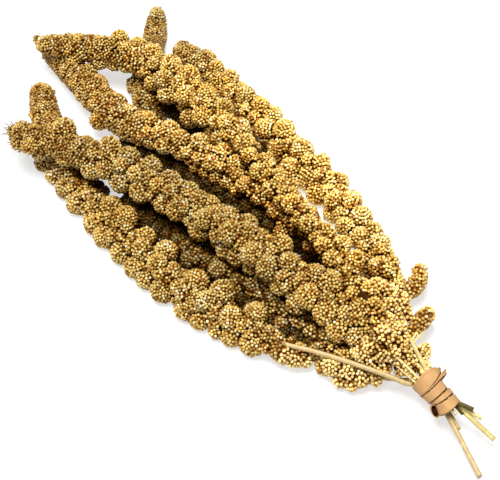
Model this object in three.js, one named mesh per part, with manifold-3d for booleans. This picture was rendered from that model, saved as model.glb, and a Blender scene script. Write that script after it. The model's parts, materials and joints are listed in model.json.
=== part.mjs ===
// A tied bunch of dried foxtail millet lying on a surface.
// Millimetres, +Z up. +X runs along the bunch towards the cut stem ends, and the
// seed heads fan out towards -X. The origin is below the middle of the bunch, on
// the surface that it lies on.
import * as THREE from 'three';
import { mergeVertices } from 'three/addons/utils/BufferGeometryUtils.js';
import Module from 'manifold-3d';

// ---- driving dimensions ---------------------------------------------------
const HEAD_SOLID = 0.80;      // solid radius as a share of the radius over the lobes
const HEAD_SIDES = 12;        // facets round a seed head
const HEAD_STEP = 4.6;        // length of one ring of facets along a head
const LOBES_ROUND = 4;        // lobes in one ring, staggered from ring to ring
const LOBE_DEPTH = 0.20;      // depth of the hollows between lobes, share of the radius
const STEM_RADIUS = 1.1;
const STEM_SIDES = 8;
const STEM_STEP = 6.0;        // length of one stem facet
const BAND_INNER = 5.05;      // radius of the tied stems with a little clearance
const BAND_OUTER = 7.0;       // radius over the windings
const BAND_TURNS = 4;         // windings side by side
const BAND_ROLL = 0.65;       // depth of the groove between two windings
const BAND_SIDES = 28;

// Centre line of each seed head from tip to base: x, y, z and the radius over its lobes.
const HEADS = {
  outer_right: [[-126.6, 52.3, 2.8, 4.5], [-118.9, 51.9, 4.3, 6.4], [-108.8, 52.4, 5.2, 7.6], [-96.0, 52.9, 5.7, 8.2], [-81.7, 52.9, 6.1, 8.6], [-67.5, 52.6, 6.5, 9.1], [-53.9, 52.0, 6.8, 9.5], [-40.5, 51.3, 7.0, 9.8], [-26.8, 50.6, 7.1, 9.8], [-12.2, 49.6, 7.0, 9.7], [3.1, 47.9, 7.0, 9.7], [18.6, 45.8, 7.1, 9.8], [33.3, 43.0, 7.1, 9.8], [47.1, 39.4, 7.0, 9.6], [59.9, 35.1, 7.8, 8.9], [71.3, 30.6, 8.1, 7.3], [81.2, 26.0, 8.6, 5.2]],
  top_long: [[-162.3, -14.7, 20.0, 4.3], [-157.0, -10.7, 20.7, 5.8], [-150.3, -5.0, 21.2, 6.9], [-142.8, 2.5, 21.4, 7.5], [-133.9, 10.4, 21.4, 8.1], [-123.6, 17.4, 21.5, 8.7], [-111.8, 22.4, 21.6, 9.6], [-98.3, 24.3, 21.7, 10.4], [-84.4, 24.1, 21.7, 10.8], [-71.1, 24.0, 21.7, 10.7], [-58.5, 24.8, 21.7, 9.9], [-45.9, 25.7, 21.7, 8.6], [-33.0, 25.5, 21.8, 7.7], [-20.2, 23.8, 21.9, 7.4], [-7.6, 21.6, 22.2, 7.2], [4.7, 19.6, 22.6, 7.0], [16.8, 18.1, 23.1, 6.9], [28.8, 16.5, 23.5, 6.7], [40.9, 14.5, 23.9, 6.5], [53.2, 12.1, 24.4, 6.3], [65.5, 9.2, 25.2, 6.2], [77.5, 6.3, 26.2, 5.5], [89.1, 4.1, 26.9, 4.0]],
  top_middle: [[-167.0, -7.7, 8.0, 4.4], [-155.3, -7.5, 9.2, 6.7], [-141.9, -7.6, 10.5, 8.0], [-127.2, -8.4, 12.0, 8.6], [-112.3, -9.4, 13.5, 9.0], [-98.4, -9.7, 14.8, 9.3], [-86.1, -8.4, 16.1, 9.3], [-75.1, -5.5, 17.1, 9.2], [-65.3, -1.8, 18.0, 9.0], [-56.0, 1.9, 18.0, 8.7], [-46.8, 5.5, 16.9, 8.3], [-37.5, 8.9, 15.7, 7.5], [-27.8, 11.3, 14.6, 6.8], [-17.5, 12.8, 13.7, 6.5], [-6.9, 13.7, 13.1, 6.4], [4.0, 14.2, 12.8, 6.1], [14.8, 14.7, 12.6, 5.9], [25.1, 15.6, 12.7, 5.8], [35.6, 16.3, 13.2, 5.8], [47.2, 16.0, 13.9, 5.8], [59.8, 14.2, 14.9, 5.7], [73.0, 10.8, 16.1, 5.1], [86.2, 6.6, 17.2, 3.6]],
  front: [[-112.8, -62.0, 20.0, 5.1], [-109.5, -58.5, 20.2, 6.5], [-104.4, -54.2, 20.5, 7.5], [-96.8, -49.4, 20.8, 8.1], [-87.3, -44.3, 20.9, 8.6], [-76.8, -39.3, 20.9, 9.0], [-66.0, -34.6, 21.0, 9.4], [-55.1, -30.2, 21.1, 9.9], [-43.6, -26.4, 21.3, 10.3], [-31.6, -23.1, 21.5, 10.6], [-19.3, -20.3, 21.7, 10.8], [-6.9, -18.1, 21.8, 11.3], [5.2, -15.9, 21.8, 11.8], [17.1, -13.6, 21.7, 12.0], [29.0, -11.7, 21.6, 11.8], [41.1, -10.0, 21.3, 11.4], [53.4, -8.2, 21.0, 11.0], [65.7, -5.8, 20.5, 10.1], [77.6, -3.6, 19.9, 8.8], [88.9, -2.4, 19.4, 7.3], [99.2, -1.4, 19.0, 5.3]],
  outer_left: [[-147.7, -24.8, 3.5, 5.4], [-139.6, -29.0, 5.0, 7.2], [-130.5, -33.6, 5.8, 8.2], [-120.8, -38.0, 5.9, 8.4], [-110.6, -42.1, 6.0, 8.5], [-99.6, -45.4, 6.0, 8.6], [-87.6, -47.6, 6.0, 8.4], [-74.3, -49.5, 6.0, 8.4], [-60.3, -51.0, 6.2, 8.7], [-46.5, -51.7, 6.5, 9.1], [-33.1, -51.5, 6.7, 9.3], [-19.9, -51.0, 6.8, 9.5], [-6.8, -50.1, 6.9, 9.6], [6.2, -48.5, 7.0, 9.8], [19.0, -46.1, 7.2, 9.9], [31.2, -43.0, 7.1, 9.9], [42.6, -39.5, 7.1, 9.5], [52.8, -36.1, 8.0, 8.8], [61.2, -32.6, 8.4, 7.2], [68.3, -29.2, 9.0, 5.0]],
  under_right: [[-160.1, 62.3, 2.0, 3.5], [-151.0, 55.4, 3.5, 5.4], [-141.1, 46.9, 4.5, 6.6], [-131.4, 37.6, 4.9, 7.1], [-122.5, 28.4, 5.0, 7.3], [-113.2, 20.1, 5.3, 7.6], [-103.2, 14.1, 5.5, 7.9], [-92.6, 9.8, 5.4, 7.7], [-80.9, 6.1, 4.9, 7.1], [-67.8, 2.6, 4.6, 6.8], [-54.2, -0.2, 4.5, 6.7], [-40.6, -1.8, 4.5, 6.6], [-27.7, -1.8, 4.4, 6.5], [-15.5, -0.7, 4.4, 6.5], [-3.6, 0.6, 4.3, 6.4], [8.5, 1.6, 4.3, 6.4], [20.5, 2.6, 4.2, 6.3], [32.1, 4.3, 4.2, 6.2], [43.2, 6.7, 4.3, 5.9], [53.8, 9.4, 5.5, 5.6], [64.0, 11.6, 6.0, 5.0], [73.8, 12.7, 6.6, 3.7]],
  under_left: [[-52.5, -31.4, 1.6, 3.0], [-40.9, -31.6, 3.7, 3.8], [-29.4, -31.9, 5.1, 4.6], [-18.1, -32.0, 6.8, 5.6], [-6.4, -31.4, 8.6, 6.5], [4.4, -29.2, 8.6, 6.9], [15.0, -26.6, 8.6, 6.9], [25.5, -24.0, 8.6, 6.9], [35.8, -21.6, 8.6, 6.8], [46.2, -19.8, 8.6, 6.8], [56.3, -18.1, 8.6, 6.7], [66.3, -16.4, 8.6, 6.7], [75.8, -14.7, 7.6, 6.6], [84.7, -13.2, 6.8, 6.6], [92.6, -11.4, 6.2, 6.0], [99.6, -9.5, 5.8, 4.1]],
};
// Centre line of each stem from the base of its head through the band to its cut end.
const STEMS = {
  outer_right: [[82.0, 25.7, 8.6], [92.9, 18.6, 10.5], [104.1, 12.7, 12.0], [119.3, 7.7, 14.5], [125.6, 6.8, 14.0], [130.8, 6.1, 13.6], [137.3, 5.2, 13.1], [143.6, 6.8, 13.6], [150.1, 8.8, 14.2]],
  top_long: [[89.9, 3.9, 26.9], [97.1, 5.9, 20.8], [106.1, 5.8, 17.0], [119.0, 4.6, 16.3], [125.3, 3.7, 15.8], [130.5, 3.0, 15.4], [137.0, 2.1, 14.9], [141.5, 4.6, 15.9], [145.7, 7.8, 17.2]],
  top_middle: [[86.9, 6.3, 17.3], [95.1, 5.1, 16.8], [105.7, 4.8, 14.2], [118.7, 4.6, 12.7], [125.0, 3.8, 12.2], [130.3, 3.0, 11.8], [136.7, 2.2, 11.3], [139.7, 3.5, 11.2], [142.0, 5.3, 11.2]],
  front: [[100.0, -1.3, 19.0], [106.8, -0.9, 17.0], [118.4, 1.5, 14.5], [124.7, 0.7, 14.0], [130.0, -0.1, 13.6], [136.4, -0.9, 13.1], [139.6, 0.2, 13.7], [142.1, 1.7, 14.6]],
  outer_left: [[69.1, -28.9, 9.1], [78.8, -24.1, 13.2], [93.0, -16.4, 14.6], [106.6, -8.2, 13.2], [118.2, 1.6, 10.9], [124.5, 0.7, 10.4], [129.7, 0, 10.0], [136.2, -0.9, 9.5], [150.6, -3.9, 7.5], [166.9, -7.3, 5.0]],
  under_right: [[74.6, 12.8, 6.7], [86.2, 10.2, 7.4], [98.8, 8.8, 8.6], [119.0, 7.8, 10.9], [125.3, 6.9, 10.4], [130.6, 6.2, 10.0], [137.0, 5.3, 9.5], [147.3, 7.4, 8.1], [158.5, 10.2, 6.5]],
  under_left: [[100.4, -9.2, 5.8], [107.4, -5.8, 7.6], [118.5, 4.7, 9.1], [124.7, 3.8, 8.6], [130.0, 3.1, 8.2], [136.4, 2.2, 7.7], [141.2, 1.6, 7.6], [145.7, 1.0, 7.5]],
};
// Two side lobes, with their own radii: one curls off a head, one sits on a stem.
const SIDE_CURL = [[70.6, 29.6, 8.4, 2.6], [76.4, 31.9, 8.6, 3.0], [78.7, 36.1, 9.0, 3.5], [77.0, 41.5, 9.8, 3.5], [73.7, 45.8, 10.6, 2.6]];
const SIDE_OVAL = [[97.6, 15.9, 11.1, 1.6], [96.6, 20.1, 11.0, 2.6], [95.4, 25.0, 10.8, 3.4], [94.3, 30.0, 10.6, 3.2], [93.5, 32.6, 10.6, 2.4]];
// Axis of the wound band.
const BAND_START = [119.7, 4.5, 12.6];
const BAND_END = [135.7, 2.3, 11.4];
const STRAW = 0xe0c684, GOLD = 0xb4914f, BAND_TAN = 0xd6a56c;

const wasm = await Module();
wasm.setup();

const vec = (p) => new THREE.Vector3(p[0], p[1], p[2]);

// Keep only positions, join shared corners and drop collapsed facets.
function closed(geometry) {
  for (const name of Object.keys(geometry.attributes)) {
    if (name !== 'position') geometry.deleteAttribute(name);
  }
  const merged = mergeVertices(geometry, 1e-3);
  const index = merged.index.array, kept = [];
  for (let i = 0; i < index.length; i += 3) {
    const [a, b, c] = [index[i], index[i + 1], index[i + 2]];
    if (a !== b && b !== c && c !== a) kept.push(a, b, c);
  }
  // outward faces enclose a positive volume
  const p = merged.attributes.position, A = new THREE.Vector3(), B = new THREE.Vector3(), C = new THREE.Vector3();
  let volume = 0;
  for (let i = 0; i < kept.length; i += 3) {
    A.fromBufferAttribute(p, kept[i]); B.fromBufferAttribute(p, kept[i + 1]); C.fromBufferAttribute(p, kept[i + 2]);
    volume += A.dot(B.cross(C));
  }
  if (volume < 0) for (let i = 0; i < kept.length; i += 3) [kept[i], kept[i + 1]] = [kept[i + 1], kept[i]];
  merged.setIndex(kept);
  return merged;
}

// A smooth centre line through x, y, z, radius points, with a frame that doesn't twist.
function spine(points, steps) {
  const curve = new THREE.CatmullRomCurve3(points.map(vec), false, 'centripetal');
  const lengths = curve.getLengths(600), total = lengths[600];
  const knots = points.map((_, i) => {
    return lengths[Math.round((i / (points.length - 1)) * 600)] / total;
  });
  const radius = (t) => {
    let i = 0;
    while (i < knots.length - 2 && t > knots[i + 1]) i += 1;
    const f = THREE.MathUtils.clamp((t - knots[i]) / (knots[i + 1] - knots[i]), 0, 1);
    return THREE.MathUtils.lerp(points[i][3], points[i + 1][3], f);
  };
  return { curve, total, radius, frames: curve.computeFrenetFrames(steps, false) };
}

// A seed head or a side lobe: a lathed spindle, lumped like the lobes and bent along its line.
function spindle(points, { sides, step, lumps, phase = 0, share = 1 }) {
  const rough = spine(points, 8);
  const steps = Math.max(6, Math.round(rough.total / step));
  const { curve, radius, frames } = spine(points, steps);
  const profile = [new THREE.Vector2(0, 0)];
  for (let i = 0; i <= steps; i += 1) profile.push(new THREE.Vector2(1, i));
  profile.push(new THREE.Vector2(0, steps));
  const g = new THREE.LatheGeometry(profile, sides), p = g.attributes.position;
  const v = new THREE.Vector3();
  for (let k = 0; k < p.count; k += 1) {
    v.fromBufferAttribute(p, k);
    const ring = Math.round(v.y), onAxis = Math.hypot(v.x, v.z) < 0.5;
    const side = ((Math.round((Math.atan2(v.z, v.x) / (2 * Math.PI)) * sides) % sides) + sides) % sides;
    const angle = (side / sides) * 2 * Math.PI;
    const centre = curve.getPointAt(ring / steps);
    let r = onAxis ? 0 : radius(ring / steps) * share;
    const ends = ring === 0 || ring === steps;
    if (ends) r *= 0.55;
    else if (lumps) r *= 1 - lumps * (0.5 - 0.5 * Math.cos(LOBES_ROUND * angle + phase) * Math.cos((ring * Math.PI) / 2));
    const n = frames.normals[ring], b = frames.binormals[ring];
    v.copy(centre).addScaledVector(n, r * Math.cos(angle)).addScaledVector(b, r * Math.sin(angle));
    p.setXYZ(k, v.x, v.y, Math.max(0, v.z));       // pressed flat where it lies on the surface
  }
  return closed(g);
}

// A straw stem: a round section drawn along its line, with square cut ends.
function stem(points) {
  const curve = new THREE.CatmullRomCurve3(points.map(vec), false, 'centripetal');
  const section = new THREE.Shape();
  for (let i = 0; i < STEM_SIDES; i += 1) {
    const a = (i / STEM_SIDES) * 2 * Math.PI;
    const x = STEM_RADIUS * Math.cos(a), y = STEM_RADIUS * Math.sin(a);
    if (i === 0) section.moveTo(x, y); else section.lineTo(x, y);
  }
  section.closePath();
  return closed(new THREE.ExtrudeGeometry(section, {
    steps: Math.max(6, Math.round(curve.getLength() / STEM_STEP)), extrudePath: curve, bevelEnabled: false,
  }));
}

// The rubber band: windings side by side, lathed as one ring about the tied stems.
function band(start, end) {
  const a = vec(start), axis = vec(end).sub(a), length = axis.length();
  const profile = [new THREE.Vector2(BAND_INNER, 0)];
  const w = length / BAND_TURNS;
  for (let i = 0; i < BAND_TURNS; i += 1) {
    const low = BAND_OUTER - BAND_ROLL;
    profile.push(new THREE.Vector2(low, i * w + 0.02), new THREE.Vector2(BAND_OUTER, i * w + 0.25 * w), new THREE.Vector2(BAND_OUTER, i * w + 0.75 * w));
  }
  profile.push(new THREE.Vector2(BAND_OUTER - BAND_ROLL, length), new THREE.Vector2(BAND_INNER, length), new THREE.Vector2(BAND_INNER, 0));
  const g = new THREE.LatheGeometry(profile, BAND_SIDES);
  g.applyQuaternion(new THREE.Quaternion().setFromUnitVectors(new THREE.Vector3(0, 1, 0), axis.normalize()));
  g.translate(a.x, a.y, a.z);
  return closed(g);
}

function solid(geometry) {
  return new wasm.Manifold(new wasm.Mesh({
    numProp: 3,
    vertProperties: Float32Array.from(geometry.attributes.position.array),
    triVerts: Uint32Array.from(geometry.index.array),
  }));
}

function join(a, b) {
  const mesh = solid(a).add(solid(b)).getMesh();
  const g = new THREE.BufferGeometry();
  g.setAttribute('position', new THREE.BufferAttribute(Float32Array.from(mesh.vertProperties), 3));
  g.setIndex(Array.from(mesh.triVerts));
  return g;
}

const bunch = new THREE.Group();

function add(name, geometry, color, roughness) {
  const mesh = new THREE.Mesh(geometry, new THREE.MeshStandardMaterial({ color, roughness, metalness: 0 }));
  mesh.name = name;
  geometry.computeVertexNormals();
  bunch.add(mesh);
}

const lobe = { sides: 10, step: 2.6, lumps: 0 };
Object.entries(HEADS).forEach(([name, points], i) => {
  let g = spindle(points, { sides: HEAD_SIDES, step: HEAD_STEP, lumps: LOBE_DEPTH, phase: i * 1.3, share: HEAD_SOLID });
  if (name === 'outer_right') g = join(g, spindle(SIDE_CURL, lobe));
  add(`seed_head_${name}`, g, GOLD, 0.7);
});
Object.entries(STEMS).forEach(([name, points]) => {
  let g = stem(points);
  if (name === 'outer_right') g = join(g, spindle(SIDE_OVAL, lobe));
  add(`stem_${name}`, g, STRAW, 0.6);
});
add('rubber_band', band(BAND_START, BAND_END), BAND_TAN, 0.75);

export default bunch;
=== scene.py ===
# Looks of a tied bunch of dried foxtail millet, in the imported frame.
# Paths below are in millimetres, in the row frame, and the meshes are in metres.
import json
import math

import bpy  # noqa: E402
import numpy as np  # noqa: E402
from mathutils.bvhtree import BVHTree  # noqa: E402
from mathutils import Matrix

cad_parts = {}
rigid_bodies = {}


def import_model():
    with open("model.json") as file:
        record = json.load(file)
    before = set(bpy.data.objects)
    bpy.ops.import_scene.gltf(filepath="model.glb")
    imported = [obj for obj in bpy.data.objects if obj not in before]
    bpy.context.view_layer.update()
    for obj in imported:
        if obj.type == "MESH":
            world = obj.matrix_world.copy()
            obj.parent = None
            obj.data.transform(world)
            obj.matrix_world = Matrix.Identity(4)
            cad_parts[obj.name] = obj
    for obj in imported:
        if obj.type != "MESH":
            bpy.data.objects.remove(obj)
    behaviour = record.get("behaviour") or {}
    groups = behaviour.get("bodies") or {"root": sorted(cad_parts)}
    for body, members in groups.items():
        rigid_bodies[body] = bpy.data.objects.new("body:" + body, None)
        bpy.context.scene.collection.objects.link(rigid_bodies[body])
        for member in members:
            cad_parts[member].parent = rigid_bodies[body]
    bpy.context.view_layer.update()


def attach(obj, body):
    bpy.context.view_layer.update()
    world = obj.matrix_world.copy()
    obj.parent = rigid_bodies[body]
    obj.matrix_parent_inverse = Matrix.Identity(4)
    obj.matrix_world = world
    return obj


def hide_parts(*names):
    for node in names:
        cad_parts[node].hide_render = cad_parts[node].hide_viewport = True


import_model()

MM = 0.001
rng = np.random.default_rng(20)

# Centre line of each seed head from tip to base: x, y, z and the radius over its lobes.
# Stems run from the base of a head through the band to the cut end.
HEADS = {
    "outer_right": [[-126.6, 52.3, 2.8, 4.5], [-118.9, 51.9, 4.3, 6.4], [-108.8, 52.4, 5.2, 7.6], [-96.0, 52.9, 5.7, 8.2], [-81.7, 52.9, 6.1, 8.6], [-67.5, 52.6, 6.5, 9.1], [-53.9, 52.0, 6.8, 9.5], [-40.5, 51.3, 7.0, 9.8], [-26.8, 50.6, 7.1, 9.8], [-12.2, 49.6, 7.0, 9.7], [3.1, 47.9, 7.0, 9.7], [18.6, 45.8, 7.1, 9.8], [33.3, 43.0, 7.1, 9.8], [47.1, 39.4, 7.0, 9.6], [59.9, 35.1, 7.8, 8.9], [71.3, 30.6, 8.1, 7.3], [81.2, 26.0, 8.6, 5.2]],
    "top_long": [[-162.3, -14.7, 20.0, 4.3], [-157.0, -10.7, 20.7, 5.8], [-150.3, -5.0, 21.2, 6.9], [-142.8, 2.5, 21.4, 7.5], [-133.9, 10.4, 21.4, 8.1], [-123.6, 17.4, 21.5, 8.7], [-111.8, 22.4, 21.6, 9.6], [-98.3, 24.3, 21.7, 10.4], [-84.4, 24.1, 21.7, 10.8], [-71.1, 24.0, 21.7, 10.7], [-58.5, 24.8, 21.7, 9.9], [-45.9, 25.7, 21.7, 8.6], [-33.0, 25.5, 21.8, 7.7], [-20.2, 23.8, 21.9, 7.4], [-7.6, 21.6, 22.2, 7.2], [4.7, 19.6, 22.6, 7.0], [16.8, 18.1, 23.1, 6.9], [28.8, 16.5, 23.5, 6.7], [40.9, 14.5, 23.9, 6.5], [53.2, 12.1, 24.4, 6.3], [65.5, 9.2, 25.2, 6.2], [77.5, 6.3, 26.2, 5.5], [89.1, 4.1, 26.9, 4.0]],
    "top_middle": [[-167.0, -7.7, 8.0, 4.4], [-155.3, -7.5, 9.2, 6.7], [-141.9, -7.6, 10.5, 8.0], [-127.2, -8.4, 12.0, 8.6], [-112.3, -9.4, 13.5, 9.0], [-98.4, -9.7, 14.8, 9.3], [-86.1, -8.4, 16.1, 9.3], [-75.1, -5.5, 17.1, 9.2], [-65.3, -1.8, 18.0, 9.0], [-56.0, 1.9, 18.0, 8.7], [-46.8, 5.5, 16.9, 8.3], [-37.5, 8.9, 15.7, 7.5], [-27.8, 11.3, 14.6, 6.8], [-17.5, 12.8, 13.7, 6.5], [-6.9, 13.7, 13.1, 6.4], [4.0, 14.2, 12.8, 6.1], [14.8, 14.7, 12.6, 5.9], [25.1, 15.6, 12.7, 5.8], [35.6, 16.3, 13.2, 5.8], [47.2, 16.0, 13.9, 5.8], [59.8, 14.2, 14.9, 5.7], [73.0, 10.8, 16.1, 5.1], [86.2, 6.6, 17.2, 3.6]],
    "front": [[-112.8, -62.0, 20.0, 5.1], [-109.5, -58.5, 20.2, 6.5], [-104.4, -54.2, 20.5, 7.5], [-96.8, -49.4, 20.8, 8.1], [-87.3, -44.3, 20.9, 8.6], [-76.8, -39.3, 20.9, 9.0], [-66.0, -34.6, 21.0, 9.4], [-55.1, -30.2, 21.1, 9.9], [-43.6, -26.4, 21.3, 10.3], [-31.6, -23.1, 21.5, 10.6], [-19.3, -20.3, 21.7, 10.8], [-6.9, -18.1, 21.8, 11.3], [5.2, -15.9, 21.8, 11.8], [17.1, -13.6, 21.7, 12.0], [29.0, -11.7, 21.6, 11.8], [41.1, -10.0, 21.3, 11.4], [53.4, -8.2, 21.0, 11.0], [65.7, -5.8, 20.5, 10.1], [77.6, -3.6, 19.9, 8.8], [88.9, -2.4, 19.4, 7.3], [99.2, -1.4, 19.0, 5.3]],
    "outer_left": [[-147.7, -24.8, 3.5, 5.4], [-139.6, -29.0, 5.0, 7.2], [-130.5, -33.6, 5.8, 8.2], [-120.8, -38.0, 5.9, 8.4], [-110.6, -42.1, 6.0, 8.5], [-99.6, -45.4, 6.0, 8.6], [-87.6, -47.6, 6.0, 8.4], [-74.3, -49.5, 6.0, 8.4], [-60.3, -51.0, 6.2, 8.7], [-46.5, -51.7, 6.5, 9.1], [-33.1, -51.5, 6.7, 9.3], [-19.9, -51.0, 6.8, 9.5], [-6.8, -50.1, 6.9, 9.6], [6.2, -48.5, 7.0, 9.8], [19.0, -46.1, 7.2, 9.9], [31.2, -43.0, 7.1, 9.9], [42.6, -39.5, 7.1, 9.5], [52.8, -36.1, 8.0, 8.8], [61.2, -32.6, 8.4, 7.2], [68.3, -29.2, 9.0, 5.0]],
    "under_right": [[-160.1, 62.3, 2.0, 3.5], [-151.0, 55.4, 3.5, 5.4], [-141.1, 46.9, 4.5, 6.6], [-131.4, 37.6, 4.9, 7.1], [-122.5, 28.4, 5.0, 7.3], [-113.2, 20.1, 5.3, 7.6], [-103.2, 14.1, 5.5, 7.9], [-92.6, 9.8, 5.4, 7.7], [-80.9, 6.1, 4.9, 7.1], [-67.8, 2.6, 4.6, 6.8], [-54.2, -0.2, 4.5, 6.7], [-40.6, -1.8, 4.5, 6.6], [-27.7, -1.8, 4.4, 6.5], [-15.5, -0.7, 4.4, 6.5], [-3.6, 0.6, 4.3, 6.4], [8.5, 1.6, 4.3, 6.4], [20.5, 2.6, 4.2, 6.3], [32.1, 4.3, 4.2, 6.2], [43.2, 6.7, 4.3, 5.9], [53.8, 9.4, 5.5, 5.6], [64.0, 11.6, 6.0, 5.0], [73.8, 12.7, 6.6, 3.7]],
    "under_left": [[-52.5, -31.4, 1.6, 3.0], [-40.9, -31.6, 3.7, 3.8], [-29.4, -31.9, 5.1, 4.6], [-18.1, -32.0, 6.8, 5.6], [-6.4, -31.4, 8.6, 6.5], [4.4, -29.2, 8.6, 6.9], [15.0, -26.6, 8.6, 6.9], [25.5, -24.0, 8.6, 6.9], [35.8, -21.6, 8.6, 6.8], [46.2, -19.8, 8.6, 6.8], [56.3, -18.1, 8.6, 6.7], [66.3, -16.4, 8.6, 6.7], [75.8, -14.7, 7.6, 6.6], [84.7, -13.2, 6.8, 6.6], [92.6, -11.4, 6.2, 6.0], [99.6, -9.5, 5.8, 4.1]],
}
STEMS = {
    "outer_right": [[82.0, 25.7, 8.6], [92.9, 18.6, 10.5], [104.1, 12.7, 12.0], [119.3, 7.7, 14.5], [125.6, 6.8, 14.0], [130.8, 6.1, 13.6], [137.3, 5.2, 13.1], [143.6, 6.8, 13.6], [150.1, 8.8, 14.2]],
    "top_long": [[89.9, 3.9, 26.9], [97.1, 5.9, 20.8], [106.1, 5.8, 17.0], [119.0, 4.6, 16.3], [125.3, 3.7, 15.8], [130.5, 3.0, 15.4], [137.0, 2.1, 14.9], [141.5, 4.6, 15.9], [145.7, 7.8, 17.2]],
    "top_middle": [[86.9, 6.3, 17.3], [95.1, 5.1, 16.8], [105.7, 4.8, 14.2], [118.7, 4.6, 12.7], [125.0, 3.8, 12.2], [130.3, 3.0, 11.8], [136.7, 2.2, 11.3], [139.7, 3.5, 11.2], [142.0, 5.3, 11.2]],
    "front": [[100.0, -1.3, 19.0], [106.8, -0.9, 17.0], [118.4, 1.5, 14.5], [124.7, 0.7, 14.0], [130.0, -0.1, 13.6], [136.4, -0.9, 13.1], [139.6, 0.2, 13.7], [142.1, 1.7, 14.6]],
    "outer_left": [[69.1, -28.9, 9.1], [78.8, -24.1, 13.2], [93.0, -16.4, 14.6], [106.6, -8.2, 13.2], [118.2, 1.6, 10.9], [124.5, 0.7, 10.4], [129.7, 0, 10.0], [136.2, -0.9, 9.5], [150.6, -3.9, 7.5], [166.9, -7.3, 5.0]],
    "under_right": [[74.6, 12.8, 6.7], [86.2, 10.2, 7.4], [98.8, 8.8, 8.6], [119.0, 7.8, 10.9], [125.3, 6.9, 10.4], [130.6, 6.2, 10.0], [137.0, 5.3, 9.5], [147.3, 7.4, 8.1], [158.5, 10.2, 6.5]],
    "under_left": [[100.4, -9.2, 5.8], [107.4, -5.8, 7.6], [118.5, 4.7, 9.1], [124.7, 3.8, 8.6], [130.0, 3.1, 8.2], [136.4, 2.2, 7.7], [141.2, 1.6, 7.6], [145.7, 1.0, 7.5]],
}
SIDE_CURL = [[70.6, 29.6, 8.4, 2.6], [76.4, 31.9, 8.6, 3.0], [78.7, 36.1, 9.0, 3.5], [77.0, 41.5, 9.8, 3.5], [73.7, 45.8, 10.6, 2.6]]
SIDE_OVAL = [[97.6, 15.9, 11.1, 1.6], [96.6, 20.1, 11.0, 2.6], [95.4, 25.0, 10.8, 3.4], [94.3, 30.0, 10.6, 3.2], [93.5, 32.6, 10.6, 2.4]]
BAND_START = [119.7, 4.5, 12.6]
BAND_END = [135.7, 2.3, 11.4]
LOOSE = [
    ("outer_right", 71.2, 20.0, 15.0, 4.8),
    ("outer_right", 77.1, 22.7, 15.0, 4.2),
    ("outer_right", 81.3, 24.8, 13.0, 4.0),
    ("outer_right", 81.0, 17.9, 14.0, 4.0),
    ("outer_right", 85.6, 24.2, 11.0, 3.0),
    ("outer_right", 88.1, 17.1, 13.0, 2.6),
    ("outer_right", 93.3, 14.6, 14.0, 2.3),
    ("outer_right", 84.8, 18.2, 14.0, 2.8),
    ("outer_right", 90.6, 23.4, 10.0, 2.4),
    ("outer_right", 109.3, 14.2, 11.0, 2.6),
    ("outer_right", 107.5, 17.1, 11.0, 1.9),
    ("outer_right", 111.7, 11.2, 11.0, 2.0),
    ("top_long", 90.0, 6.2, 22.0, 4.4),
    ("top_long", 95.3, 7.1, 20.0, 4.0),
    ("top_long", 98.9, 7.6, 18.0, 3.2),
    ("top_long", 102.5, 10.9, 13.5, 2.6),
    ("top_middle", 90.9, 0.6, 21.0, 4.6),
    ("top_middle", 97.1, 1.3, 18.0, 4.2),
    ("top_middle", 107.8, 7.3, 12.5, 2.2),
    ("front", 93.6, -4.1, 19.0, 4.8),
    ("front", 98.8, -3.2, 17.0, 4.4),
    ("front", 96.9, -6.5, 13.0, 4.4),
    ("front", 102.8, -4.5, 11.5, 3.4),
    ("front", 103.5, -1.0, 13.0, 3.2),
    ("front", 109.1, -0.4, 11.0, 2.4),
    ("front", 92.6, -8.8, 15.0, 4.6),
    ("outer_left", 67.2, -32.9, 7.0, 4.6),
    ("outer_left", 72.0, -29.9, 6.5, 4.2),
    ("outer_left", 75.6, -26.9, 5.5, 3.0),
    ("top_long", 103.9, 4.4, 20.5, 2.6),
    ("top_middle", 104.5, 0.2, 20.5, 2.8),
    ("top_long", 107.4, 3.7, 19.0, 2.4),
    ("top_long", 107.2, 7.7, 18.0, 2.2),
    ("front", 107.7, -0.0, 18.0, 2.6),
    ("top_middle", 111.0, 2.3, 17.3, 2.3),
    ("top_long", 111.0, 6.7, 17.0, 2.0),
    ("top_long", 114.6, 4.7, 16.0, 1.8),
    ("front", 114.3, 0.8, 15.4, 2.0),
    ("front", 111.3, -0.8, 15.8, 2.3),
    ("top_long", 117.7, 3.6, 15.2, 1.4),
    ("front", 117.0, 0.2, 14.4, 1.4),
    ("top_long", 101.7, 3.3, 21.5, 2.8),
    ("front", 102.9, -1.7, 18.8, 3.2),
    ("outer_right", 108.4, 11.9, 15.5, 2.0),
    ("outer_right", 115.9, 8.6, 13.8, 1.5),
    ("top_long", 99.5, 1.5, 23.0, 3.0),
    ("top_long", 95.6, 0.1, 24.5, 3.6),
    ("top_long", 101.2, 8.9, 19.5, 2.2),
    ("under_left", 86.9, -20.6, 8.0, 4.6),
    ("under_left", 93.0, -17.6, 7.5, 4.6),
    ("under_left", 98.9, -14.9, 7.0, 3.8),
    ("under_left", 97.7, -18.6, 5.0, 3.2),
    ("under_left", 93.1, -21.7, 5.0, 3.0),
    ("under_left", 100.1, -11.8, 7.0, 3.2),
    ("under_left", 103.8, -9.6, 6.0, 2.4),
]
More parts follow.
